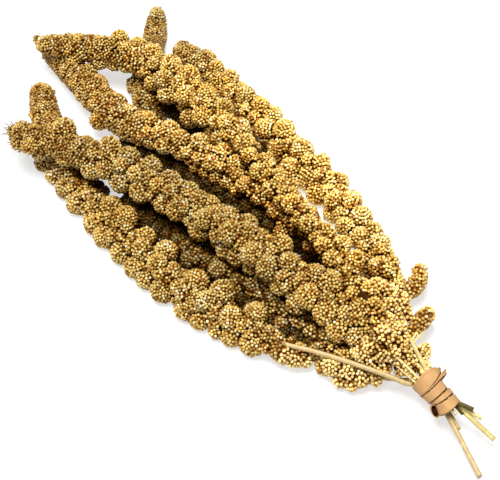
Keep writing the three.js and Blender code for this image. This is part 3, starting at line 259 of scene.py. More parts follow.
    "top_middle": [(-65.2, 1.8, 20.9, 5.1), (-49.6, 8.3, 19.2, 5.5), (-77.9, -3.5, 19.9, 5.4), (4.0, 13.9, 12.7, 3.5), (14.7, 10.1, 10.0, 3.9), (30.7, 14.7, 12.1, 3.5), (-120.7, -4.9, 14.7, 5.1), (-37.6, 7.2, 17.2, 4.5), (-102.4, -16.2, 11.0, 5.0), (-100.9, -6.2, 17.4, 5.0), (-132.4, -2.7, 14.2, 4.1), (-56.0, 1.9, 22.6, 4.3), (-17.0, 11.7, 15.3, 4.1), (-29.2, 15.3, 16.9, 4.5), (-84.3, -11.9, 15.3, 4.8), (-87.6, -7.2, 20.4, 4.7), (-70.5, -5.6, 16.2, 5.0), (-54.1, 0.7, 16.5, 4.2), (-107.3, -13.3, 16.6, 4.6), (-37.7, 14.4, 19.2, 4.4), (-129.1, -11.4, 14.0, 4.7), (-150.7, -8.2, 12.4, 4.6), (-140.1, -10.3, 13.1, 4.5), (-126.5, -5.1, 8.9, 3.6), (42.6, 14.3, 16.3, 2.8), (57.4, 15.3, 12.6, 3.2), (-134.0, -9.7, 6.3, 3.0), (70.1, 13.3, 16.6, 3.3), (-149.9, -2.6, 9.9, 2.4), (-106.2, -9.7, 8.3, 3.4), (-93.4, -13.0, 14.3, 4.5), (-3.0, 15.3, 15.6, 3.2), (74.7, 9.1, 17.7, 2.9), (47.7, 17.5, 15.0, 3.7), (11.1, 16.3, 11.7, 3.6), (-121.8, -14.5, 12.6, 3.0), (-145.9, -11.8, 11.8, 2.3), (-142.4, -3.6, 12.5, 3.1), (79.7, 7.1, 15.3, 2.2), (37.5, 15.4, 14.5, 2.7), (-151.2, -9.8, 5.2, 2.2), (64.9, 13.1, 17.2, 2.8), (-154.6, -7.0, 5.0, 2.6), (-144.7, -9.8, 6.3, 3.1), (-111.4, -5.0, 11.3, 3.8), (-110.8, -7.0, 18.0, 3.4), (-87.6, -4.5, 11.7, 4.0), (-9.1, 15.8, 16.1, 3.2), (-118.8, -12.4, 8.5, 3.1), (32.8, 19.3, 14.8, 2.9), (83.9, 7.4, 18.0, 2.4), (17.6, 15.2, 14.6, 3.4), (77.5, 10.3, 14.5, 2.2), (37.9, 19.4, 13.7, 2.8), (-114.2, -14.3, 13.0, 3.6), (59.2, 14.3, 17.8, 2.8), (-155.2, -3.3, 10.0, 2.5), (-157.7, -8.9, 12.2, 2.5), (-22.4, 15.0, 13.1, 3.4), (-148.9, -4.1, 6.1, 2.4), (-78.3, -6.3, 11.6, 3.8), (-98.0, -8.6, 9.8, 4.2), (25.7, 18.0, 13.6, 2.9), (-5.4, 16.9, 10.1, 2.9), (-121.9, -8.7, 6.5, 2.9), (-60.1, -5.6, 19.7, 4.0), (53.3, 17.7, 16.3, 2.8), (-137.9, -3.9, 8.8, 3.4), (63.6, 14.4, 12.3, 3.1), (42.7, 15.8, 10.9, 2.8), (-43.2, 9.5, 13.1, 3.9), (78.6, 8.1, 18.7, 1.7), (-28.4, 10.6, 15.9, 1.7), (-59.5, 1.8, 13.5, 2.6), (-137.3, -5.9, 15.7, 2.3), (-14.3, 17.1, 13.2, 2.6), (-149.2, -11.6, 8.3, 1.7), (23.6, 15.0, 15.7, 1.9), (-49.3, 1.0, 20.2, 3.2), (11.0, 14.2, 15.7, 2.0), (-126.9, -9.7, 7.2, 2.5), (-147.8, -7.3, 5.0, 2.0), (53.1, 14.0, 11.5, 2.1), (-77.5, -11.3, 18.8, 2.7), (-95.1, -7.1, 19.8, 2.9), (-98.0, -15.6, 16.3, 2.6), (-143.5, -4.2, 6.7, 1.9), (-134.5, -13.2, 12.4, 2.0), (6.6, 16.2, 10.0, 2.5), (65.9, 9.9, 15.1, 2.1), (20.0, 18.7, 12.3, 1.9), (-137.8, -7.2, 5.1, 1.8), (-23.8, 11.8, 17.6, 2.8), (7.6, 12.1, 14.9, 2.0), (35.7, 17.4, 17.0, 1.9), (0.0, 17.0, 12.5, 2.2), (-86.7, -10.2, 10.1, 2.5), (-157.9, -6.3, 5.7, 1.7), (-112.8, -9.4, 8.2, 2.6), (-158.1, -5.0, 11.7, 1.7), (-68.8, 0.5, 14.5, 3.5), (-125.5, -7.9, 17.4, 2.5), (-145.9, -3.4, 8.8, 2.0), (29.2, 15.6, 16.1, 2.5), (83.8, 8.7, 15.1, 1.7), (73.2, 11.4, 13.1, 1.8), (50.5, 12.4, 15.5, 1.9), (16.6, 16.5, 9.8, 2.4), (42.9, 18.8, 14.0, 2.3), (7.5, 16.3, 14.9, 2.4), (-36.3, 10.9, 12.2, 2.5), (-143.2, -12.6, 8.3, 1.7), (-57.1, 5.2, 17.7, 3.3), (60.2, 11.4, 14.7, 2.5), (-153.8, -3.9, 6.7, 1.9), (-22.5, 10.9, 14.8, 1.9), (-63.3, -2.1, 14.8, 3.5), (-106.9, -4.7, 15.1, 3.0), (-127.3, -3.8, 14.9, 2.3), (-146.6, -5.4, 14.8, 1.9), (-104.9, -9.4, 20.2, 2.4), (-90.5, -12.4, 20.5, 2.7), (-118.1, -6.7, 8.6, 2.5), (-42.6, 2.7, 19.4, 2.8), (-49.1, 4.9, 12.5, 2.6), (-116.1, -6.7, 17.8, 2.3), (-131.1, -7.1, 16.9, 2.1), (-79.0, -1.4, 13.8, 2.6), (-42.0, 9.3, 19.8, 3.3), (-132.5, -3.2, 9.4, 2.0), (82.1, 10.8, 16.2, 1.7), (-74.4, -1.0, 14.3, 2.8), (78.7, 11.6, 18.0, 1.7), (-71.3, -7.7, 21.6, 2.6), (70.2, 9.8, 13.5, 1.8), (53.0, 18.1, 11.2, 1.9), (-83.8, -1.7, 17.5, 2.9), (-1.1, 14.7, 9.2, 1.9), (-104.0, -5.4, 10.5, 2.7), (-31.5, 8.0, 18.9, 2.4), (-81.9, -10.2, 20.7, 3.1), (-140.1, -10.8, 6.9, 1.7), (46.3, 16.8, 10.7, 2.0), (-129.5, -12.5, 8.2, 2.1), (-138.9, -2.2, 13.1, 1.7), (61.1, 17.5, 15.3, 2.1), (14.0, 13.6, 16.1, 2.0), (-115.1, -12.2, 17.6, 2.6), (-144.8, -6.3, 4.9, 1.7), (-133.6, -12.5, 9.1, 2.2), (-130.8, -7.7, 6.2, 1.8), (-66.3, -4.6, 22.7, 3.2), (-92.9, -4.1, 11.1, 2.6), (-132.1, -5.1, 6.9, 1.9), (74.2, 13.5, 16.0, 1.7), (-136.5, -13.3, 10.2, 1.7), (29.8, 18.4, 11.1, 2.1), (9.1, 13.2, 12.5, 1.7), (35.6, 17.4, 10.1, 1.9), (-99.2, -12.3, 19.5, 2.9), (54.5, 12.1, 14.7, 2.5), (-82.8, -3.5, 13.0, 2.5), (-144.8, -9.5, 15.3, 1.7), (-156.4, -11.3, 10.1, 1.7), (-119.5, -13.6, 16.3, 2.4), (-71.4, -0.6, 20.5, 3.1), (-17.1, 13.1, 10.1, 2.2), (-134.9, -9.7, 16.0, 2.0), (-75.5, -10.6, 14.4, 2.5), (-157.3, -3.8, 7.5, 1.7), (-31.9, 12.1, 11.8, 2.2), (14.1, 17.4, 14.5, 1.9), (25.2, 16.2, 9.8, 1.8), (69.5, 9.2, 16.7, 2.0), (-125.6, -13.6, 9.3, 2.1), (-44.6, 3.0, 11.5, 3.6), (-39.3, 4.7, 11.5, 3.9), (-32.9, 6.8, 11.5, 4.0), (-26.3, 8.6, 11.5, 4.0), (-19.8, 9.8, 11.2, 3.6), (-6.7, 11.7, 13.9, 2.8), (11.7, 12.2, 12.9, 2.3), (67.2, 13.0, 13.4, 2.1), (38.1, 16.2, 10.9, 2.1), (22.3, 17.1, 11.2, 2.2), (-33.7, 12.5, 15.1, 3.2), (33.9, 15.2, 15.3, 2.1), (-9.4, 12.7, 10.7, 2.4), (-47.9, 2.2, 15.4, 3.3), (46.9, 14.1, 12.5, 2.1), (-93.7, -5.6, 15.1, 3.4), (81.5, 9.0, 18.1, 1.7), (-33.7, 10.9, 18.5, 2.3), (57.4, 17.1, 16.1, 1.7), (77.3, 7.5, 16.8, 1.7), (-90.5, -9.5, 11.3, 2.9), (63.0, 15.4, 17.0, 1.7), (-55.0, 4.6, 14.1, 2.4), (-26.9, 12.7, 11.7, 2.2), (32.6, 17.3, 10.4, 1.7), (14.4, 12.0, 13.7, 1.7), (64.6, 15.7, 15.4, 1.8), (-61.0, 4.5, 19.3, 2.4), (44.6, 18.2, 11.9, 1.8), (50.7, 17.2, 11.8, 1.7), (-56.4, -2.8, 18.8, 2.5), (74.9, 9.4, 14.3, 1.7), (67.0, 15.0, 15.7, 1.8), (27.6, 14.4, 10.4, 1.7), (-74.1, -9.2, 18.4, 3.2), (72.7, 8.7, 15.5, 1.8), (40.5, 18.8, 12.1, 1.7), (1.5, 15.7, 10.5, 1.9), (13.5, 13.8, 9.8, 1.7), (57.4, 12.2, 13.9, 1.9), (-17.6, 15.5, 13.2, 2.3), (50.5, 13.6, 12.3, 1.8), (34.1, 15.4, 10.4, 1.7), (-12.1, 14.7, 10.6, 1.9), (21.1, 16.8, 15.0, 1.7), (-23.5, 12.2, 11.0, 2.0), (-110.6, -11.7, 10.5, 3.2), (-10.8, 11.0, 15.3, 1.9), (-21.9, 14.2, 16.8, 1.8), (-119.6, -9.2, 17.3, 2.4), (18.2, 12.4, 11.3, 1.7), (0.6, 13.3, 15.6, 2.0), (9.4, 13.3, 9.9, 1.7), (-123.7, -11.5, 15.6, 2.5), (51.1, 15.6, 17.0, 1.7), (62.3, 11.5, 16.8, 1.7), (-8.4, 16.3, 12.6, 2.2), (-5.9, 16.9, 14.0, 1.7), (-44.8, 6.1, 20.7, 2.4), (41.4, 13.9, 13.3, 2.1), (-12.3, 14.1, 16.1, 2.2), (0.6, 15.9, 15.3, 1.8), (40.2, 17.6, 16.0, 1.7), (57.0, 12.7, 16.6, 1.7)],
    "front": [(-48.0, -22.6, 24.7, 5.2), (-24.5, -16.7, 24.5, 4.5), (-35.8, -20.0, 24.3, 5.2), (55.2, -15.0, 16.8, 4.8), (52.4, -2.8, 24.3, 5.3), (10.2, -8.6, 25.5, 4.8), (-10.3, -15.0, 25.3, 4.7), (-14.8, -18.1, 28.1, 4.5), (-6.4, -23.8, 18.6, 5.5), (68.7, -9.3, 20.7, 6.0), (-60.3, -27.4, 24.4, 5.7), (-22.2, -24.8, 19.7, 5.5), (-95.2, -41.6, 26.1, 5.5), (60.2, -0.3, 24.6, 6.0), (-97.9, -55.8, 17.0, 4.1), (-111.0, -58.7, 22.3, 4.1), (-71.5, -41.1, 18.4, 5.7), (-55.8, -35.0, 18.2, 6.0), (79.2, 1.6, 22.4, 5.4), (58.7, -11.5, 23.4, 5.8), (17.2, -20.0, 18.3, 4.7), (0.1, -12.0, 24.5, 4.8), (40.6, -8.2, 25.5, 5.4), (86.0, -5.7, 17.9, 5.1), (-71.2, -30.7, 25.5, 5.4), (25.5, -16.8, 25.5, 5.8), (-30.3, -27.2, 19.0, 5.0), (78.0, -9.3, 16.8, 5.9), (-86.8, -46.8, 18.9, 5.7), (30.2, -4.0, 26.1, 5.0), (94.0, -1.8, 21.2, 4.2), (10.6, -21.8, 17.8, 4.1), (35.2, -15.8, 24.8, 5.6), (10.1, -18.3, 27.3, 5.6), (-43.9, -31.1, 18.4, 6.0), (-113.3, -59.7, 21.0, 3.4), (-107.2, -62.7, 20.5, 3.0), (-111.3, -55.4, 22.0, 3.8), (-99.6, -59.8, 23.0, 4.0), (-116.6, -60.1, 20.0, 2.2), (-117.2, -54.5, 20.1, 2.1), (-83.6, -36.6, 22.5, 3.6), (-95.8, -52.9, 24.6, 2.7), (-108.1, -51.6, 19.4, 2.5), (46.9, -9.2, 14.0, 5.4), (-109.1, -56.3, 16.2, 2.3), (-95.3, -49.3, 16.9, 3.7), (-81.1, -43.1, 25.3, 4.3), (-105.4, -53.7, 25.1, 2.6), (-102.8, -49.5, 24.2, 2.7), (24.4, -8.7, 16.9, 5.9), (13.1, -11.8, 16.7, 6.0), (-16.3, -16.1, 18.0, 6.5), (3.0, -17.3, 16.6, 6.3), (-102.2, -49.5, 16.9, 3.1), (-107.2, -60.1, 17.3, 2.5), (34.9, -5.0, 17.4, 5.6), (-29.5, -17.3, 17.5, 5.4), (-81.9, -40.0, 16.9, 3.7), (-98.3, -44.6, 19.7, 2.8), (-105.0, -58.6, 24.2, 2.2), (97.6, -1.6, 16.1, 2.7), (-103.9, -54.8, 16.0, 2.8), (-63.5, -38.6, 22.2, 4.8), (70.5, 0.6, 19.8, 4.8), (-76.7, -33.5, 20.2, 3.8), (-93.1, -48.9, 25.7, 3.0), (58.5, -7.0, 14.4, 5.2), (-68.1, -32.8, 17.2, 4.3), (36.1, -13.5, 16.8, 4.9), (-29.1, -24.0, 25.9, 3.5), (75.9, -5.4, 23.7, 3.2), (-103.3, -58.3, 17.5, 1.7), (-105.7, -49.5, 22.3, 1.7), (-16.7, -23.8, 25.9, 3.6), (-4.4, -22.5, 27.4, 4.6), (-36.4, -27.2, 26.1, 3.3), (-85.8, -48.4, 24.6, 2.1), (-89.9, -40.4, 18.9, 2.5), (43.6, -15.3, 18.6, 4.2), (-79.3, -46.1, 20.4, 2.2), (-73.0, -39.8, 25.9, 2.9), (92.4, -4.6, 17.1, 2.3), (-51.0, -23.6, 17.5, 3.4), (-105.6, -60.7, 20.2, 1.8), (-89.2, -50.0, 24.5, 2.0), (-91.6, -51.8, 19.5, 2.0), (-89.3, -40.2, 23.8, 2.3), (19.4, -8.2, 24.4, 4.1), (-49.3, -30.7, 25.4, 3.8), (-94.0, -54.0, 21.0, 2.0), (75.6, -1.3, 15.6, 3.2), (-93.5, -43.9, 16.6, 2.3), (90.2, -0.3, 16.9, 2.8), (87.0, 1.2, 19.9, 3.0), (-89.4, -44.9, 25.2, 2.6), (-42.6, -26.7, 25.7, 3.9), (47.3, -14.3, 23.3, 3.7), (81.6, -4.4, 24.3, 3.2), (-36.1, -20.1, 17.5, 3.6), (-7.1, -15.6, 16.6, 3.7), (-21.8, -24.6, 25.5, 2.7), (15.7, -11.6, 29.0, 3.9), (-78.2, -35.4, 24.9, 2.5), (-42.7, -22.1, 18.9, 4.5), (-99.5, -48.0, 25.7, 2.0), (84.5, 0.1, 15.5, 3.1), (98.0, -4.5, 20.7, 1.9), (-55.4, -27.2, 16.9, 3.3), (43.6, -14.1, 25.6, 3.8), (-87.7, -41.8, 15.6, 2.1), (-57.3, -33.9, 27.0, 3.3), (46.2, -3.4, 20.1, 3.9), (97.8, 1.2, 19.4, 2.1), (25.9, -18.4, 17.8, 3.7), (1.4, -19.1, 28.3, 3.8), (61.9, -1.1, 17.0, 3.6), (-105.5, -51.5, 16.4, 1.8), (-101.8, -46.3, 20.1, 1.7), (-99.6, -54.5, 24.9, 1.8), (-37.0, -29.9, 21.6, 3.4), (-91.6, -52.0, 22.9, 1.8), (51.3, -5.6, 17.6, 3.5), (-77.8, -38.9, 26.4, 2.4), (95.3, 2.0, 17.2, 1.9), (-63.3, -30.2, 18.6, 3.6), (-53.9, -26.1, 22.7, 4.0), (-96.5, -47.4, 23.3, 3.4), (51.6, -9.6, 25.3, 4.3), (79.4, -3.0, 16.0, 2.9), (91.4, -5.2, 20.5, 2.2), (21.2, -11.8, 27.6, 3.3), (-13.0, -23.8, 20.5, 3.8), (89.6, -3.3, 22.9, 2.0), (24.7, -8.1, 25.2, 3.8), (4.5, -11.1, 20.2, 4.1), (-91.7, -42.4, 21.5, 2.8), (41.2, -8.5, 15.7, 3.1), (-51.0, -31.1, 16.6, 2.8), (-85.9, -44.5, 25.1, 2.4), (-11.0, -21.5, 25.7, 3.9), (-10.5, -19.7, 16.9, 3.7), (52.4, -10.2, 15.8, 3.1), (-68.2, -36.5, 24.9, 3.2), (46.7, -6.5, 25.3, 3.9), (-41.3, -26.1, 16.1, 2.9), (72.7, -6.0, 16.4, 3.3), (-4.0, -11.9, 20.8, 3.2), (66.2, -4.2, 15.9, 3.0), (-8.9, -13.1, 20.2, 3.2), (-29.7, -19.0, 24.7, 3.6), (50.6, -13.9, 18.8, 3.0), (-20.5, -19.0, 27.0, 2.9), (-76.9, -43.5, 19.1, 2.8), (-64.0, -34.3, 25.7, 2.6), (16.8, -16.8, 25.8, 4.2), (-76.9, -38.3, 16.6, 2.6), (65.2, -6.6, 25.6, 2.9), (-37.0, -27.6, 17.5, 3.2), (4.4, -21.3, 23.0, 3.9), (-23.6, -18.9, 17.4, 3.6), (20.1, -15.8, 16.3, 3.3), (-3.7, -17.0, 27.6, 3.1), (-62.9, -33.9, 16.4, 2.8), (-75.5, -42.4, 23.5, 2.8), (69.3, -2.0, 24.0, 2.8), (6.0, -12.8, 26.2, 4.0), (29.9, -14.1, 16.3, 3.3), (30.6, -10.6, 27.3, 3.4), (32.7, -16.8, 19.4, 3.1), (-72.6, -34.9, 17.7, 3.2), (-74.5, -36.3, 24.9, 2.7), (-85.7, -38.9, 19.3, 2.4), (85.5, -2.2, 23.4, 2.2), (96.2, -4.4, 18.4, 1.9), (-5.1, -13.3, 25.3, 3.3)],
    "outer_left": [(-40.7, -44.8, 9.6, 6.0), (-50.7, -55.4, 5.3, 5.9), (44.9, -31.7, 11.4, 5.5), (-41.1, -55.8, 5.4, 6.0), (71.3, -27.1, 8.7, 3.3), (3.2, -53.7, 5.4, 6.0), (-141.8, -29.5, 7.2, 4.2), (53.1, -39.7, 5.6, 5.9), (-90.3, -53.1, 4.4, 4.6), (-79.0, -53.6, 5.0, 5.5), (-67.0, -54.9, 5.1, 5.6), (-10.6, -41.9, 10.8, 5.5), (-7.5, -55.3, 4.8, 5.3), (-27.3, -55.2, 5.3, 5.9), (25.9, -36.5, 11.4, 6.0), (-16.6, -56.0, 4.7, 5.0), (64.4, -33.5, 8.0, 4.3), (12.6, -41.6, 10.3, 6.0), (-51.2, -45.8, 9.0, 5.6), (-24.0, -44.2, 10.3, 4.9), (43.5, -43.5, 4.9, 5.4), (-100.7, -53.4, 4.6, 4.2), (39.1, -41.5, 11.1, 5.5), (18.4, -51.5, 4.9, 5.5), (36.6, -47.1, 4.1, 4.2), (27.2, -49.6, 4.4, 4.9), (-18.9, -50.1, 11.7, 4.5), (-118.9, -38.0, 9.2, 5.3), (-94.1, -50.0, 8.7, 4.3), (52.6, -35.2, 11.0, 3.6), (56.8, -33.9, 11.5, 3.6), (60.8, -32.5, 11.5, 3.2), (-34.9, -48.9, 4.0, 5.0), (-112.0, -42.0, 2.8, 3.5), (-99.4, -45.3, 10.7, 4.3), (-133.8, -35.2, 2.2, 2.8), (-135.9, -28.7, 9.8, 2.5), (-106.3, -47.2, 9.6, 3.3), (-4.2, -46.4, 4.0, 5.0), (-133.0, -28.2, 3.2, 3.3), (-99.2, -42.6, 3.2, 3.9), (-128.5, -31.9, 2.4, 3.0), (-111.3, -43.3, 10.4, 3.4), (-123.7, -30.8, 5.4, 2.7), (-6.3, -50.0, 12.0, 4.7), (-140.0, -24.0, 5.7, 2.4), (-60.2, -47.7, 6.1, 4.7), (-126.2, -32.4, 9.7, 3.3), (-131.7, -35.8, 9.1, 3.4), (-109.4, -37.3, 4.6, 3.5), (-106.8, -47.8, 3.2, 3.3), (25.6, -45.5, 13.2, 4.7), (-122.7, -36.4, 2.3, 2.9), (-141.0, -32.5, 2.1, 2.3), (-138.1, -34.8, 5.4, 2.3), (-126.5, -40.0, 9.2, 3.1), (-117.4, -45.2, 6.2, 3.3), (-93.1, -42.9, 8.6, 3.4), (-131.2, -28.3, 8.9, 2.5), (-138.4, -26.1, 2.0, 2.4), (-104.5, -39.2, 7.6, 3.3), (-127.4, -40.2, 3.6, 2.8), (4.9, -43.2, 4.2, 5.2), (29.8, -41.4, 4.0, 5.0), (37.4, -37.3, 3.7, 4.6), (-15.5, -46.6, 4.3, 5.3), (-120.6, -41.7, 2.4, 2.9), (20.9, -41.8, 4.7, 5.0), (-105.5, -41.8, 2.8, 3.5), (-60.5, -53.4, 3.3, 2.9), (-25.9, -47.9, 3.2, 3.2), (-34.2, -49.2, 11.2, 3.4), (55.4, -31.3, 5.9, 3.2), (0.1, -46.2, 10.7, 4.0), (-112.8, -36.7, 8.1, 2.6), (66.1, -27.4, 9.1, 2.2), (-44.6, -51.1, 11.2, 2.9), (33.0, -45.3, 11.9, 3.5), (10.0, -49.6, 10.9, 3.7), (-68.5, -50.7, 9.9, 2.4), (-101.4, -47.6, 2.1, 2.6), (59.5, -29.6, 6.5, 2.4), (47.0, -36.6, 3.2, 3.2), (-114.4, -36.0, 4.0, 2.4), (7.2, -48.9, 2.5, 3.1), (-131.8, -32.0, 11.2, 1.7), (-135.9, -26.3, 7.1, 2.0), (-75.4, -51.2, 9.5, 2.7), (63.0, -29.1, 5.6, 2.2), (-66.2, -47.9, 2.4, 2.9), (-137.5, -34.7, 2.1, 1.7), (-56.0, -53.6, 10.5, 3.1), (-47.6, -49.5, 3.0, 3.0), (-64.1, -51.5, 10.5, 2.9), (-30.6, -46.6, 6.9, 3.2), (-121.5, -32.6, 8.1, 2.0), (-75.4, -47.1, 2.2, 2.8), (-143.0, -29.7, 1.4, 1.7), (-82.3, -47.3, 1.9, 2.4), (-116.9, -42.6, 1.6, 2.0), (-112.0, -46.2, 6.2, 2.6), (-56.3, -50.9, 2.4, 2.9), (-116.4, -38.8, 2.1, 2.6), (-105.0, -42.6, 11.1, 2.6), (-129.6, -36.8, 1.4, 1.7), (-74.2, -54.0, 9.2, 2.6), (-137.3, -33.0, 9.9, 2.0), (45.8, -40.7, 11.7, 2.9), (-123.4, -32.7, 1.5, 1.8), (-123.8, -42.5, 6.9, 2.1), (-130.6, -39.6, 7.1, 2.1), (13.7, -44.4, 3.3, 3.1), (50.6, -33.1, 5.5, 3.2), (-35.1, -55.8, 10.4, 3.3), (-87.2, -49.8, 2.0, 2.4), (-21.3, -50.8, 2.9, 3.6), (19.1, -46.3, 10.9, 3.7), (-135.8, -36.4, 7.8, 1.8), (-87.8, -52.2, 9.1, 2.3), (-138.4, -29.9, 1.4, 1.8), (-34.1, -55.9, 2.7, 3.0), (-27.4, -49.4, 11.0, 3.0), (-109.1, -39.0, 9.3, 2.5), (-133.7, -31.6, 1.6, 2.0), (22.7, -50.5, 11.0, 3.2), (-46.3, -55.2, 10.7, 2.8), (-127.8, -28.8, 7.1, 1.7), (-144.2, -31.3, 3.5, 1.7), (-0.5, -52.3, 12.4, 3.0), (-120.4, -33.3, 4.1, 1.9), (59.9, -33.3, 3.6, 2.5), (-52.1, -48.6, 2.3, 2.9), (-102.3, -49.2, 8.3, 2.3), (-99.8, -40.3, 8.9, 2.5), (59.7, -37.3, 8.1, 3.1), (-133.3, -38.2, 6.2, 1.7), (-88.3, -46.2, 9.2, 3.1), (-97.0, -47.9, 3.8, 3.7), (-71.3, -47.0, 6.5, 3.7), (-71.5, -50.9, 3.0, 3.4), (-13.3, -50.2, 10.6, 3.6), (-30.1, -53.7, 10.6, 2.8), (-61.6, -55.1, 6.9, 2.5), (-45.6, -48.0, 8.2, 3.0), (-40.4, -49.6, 3.1, 3.2), (-9.8, -48.5, 2.4, 2.6), (21.9, -47.1, 2.4, 2.7), (-41.5, -52.8, 11.1, 2.5), (-58.1, -55.4, 7.6, 2.4), (-65.4, -46.7, 7.1, 2.8), (51.6, -39.9, 11.1, 2.5), (-24.0, -53.0, 10.7, 3.1), (-37.1, -52.3, 11.1, 2.8), (29.6, -41.6, 11.5, 2.9), (-5.0, -45.8, 9.3, 2.8), (3.1, -51.6, 11.0, 2.8), (-72.4, -53.7, 6.0, 2.7), (34.2, -38.4, 10.1, 3.0), (12.7, -51.7, 5.5, 3.1), (65.8, -29.0, 6.5, 1.7), (0.7, -47.2, 2.4, 2.6), (36.0, -46.3, 9.0, 2.8), (32.3, -47.5, 8.1, 3.0), (4.9, -47.5, 11.8, 2.7), (-11.6, -54.8, 8.4, 2.9), (-93.0, -43.5, 3.9, 2.8), (-62.0, -50.2, 2.1, 2.6), (-29.8, -49.2, 2.8, 2.8), (-20.0, -46.3, 8.0, 2.6), (14.4, -47.2, 11.8, 3.1), (-9.9, -46.3, 6.1, 3.3), (41.4, -34.9, 7.4, 2.6), (-84.3, -51.7, 4.3, 2.6), (58.4, -36.0, 4.7, 2.2), (-12.6, -52.5, 3.2, 3.4), (48.8, -37.9, 12.1, 2.7), (14.9, -51.2, 9.8, 2.8), (-59.8, -50.9, 10.7, 2.4)],
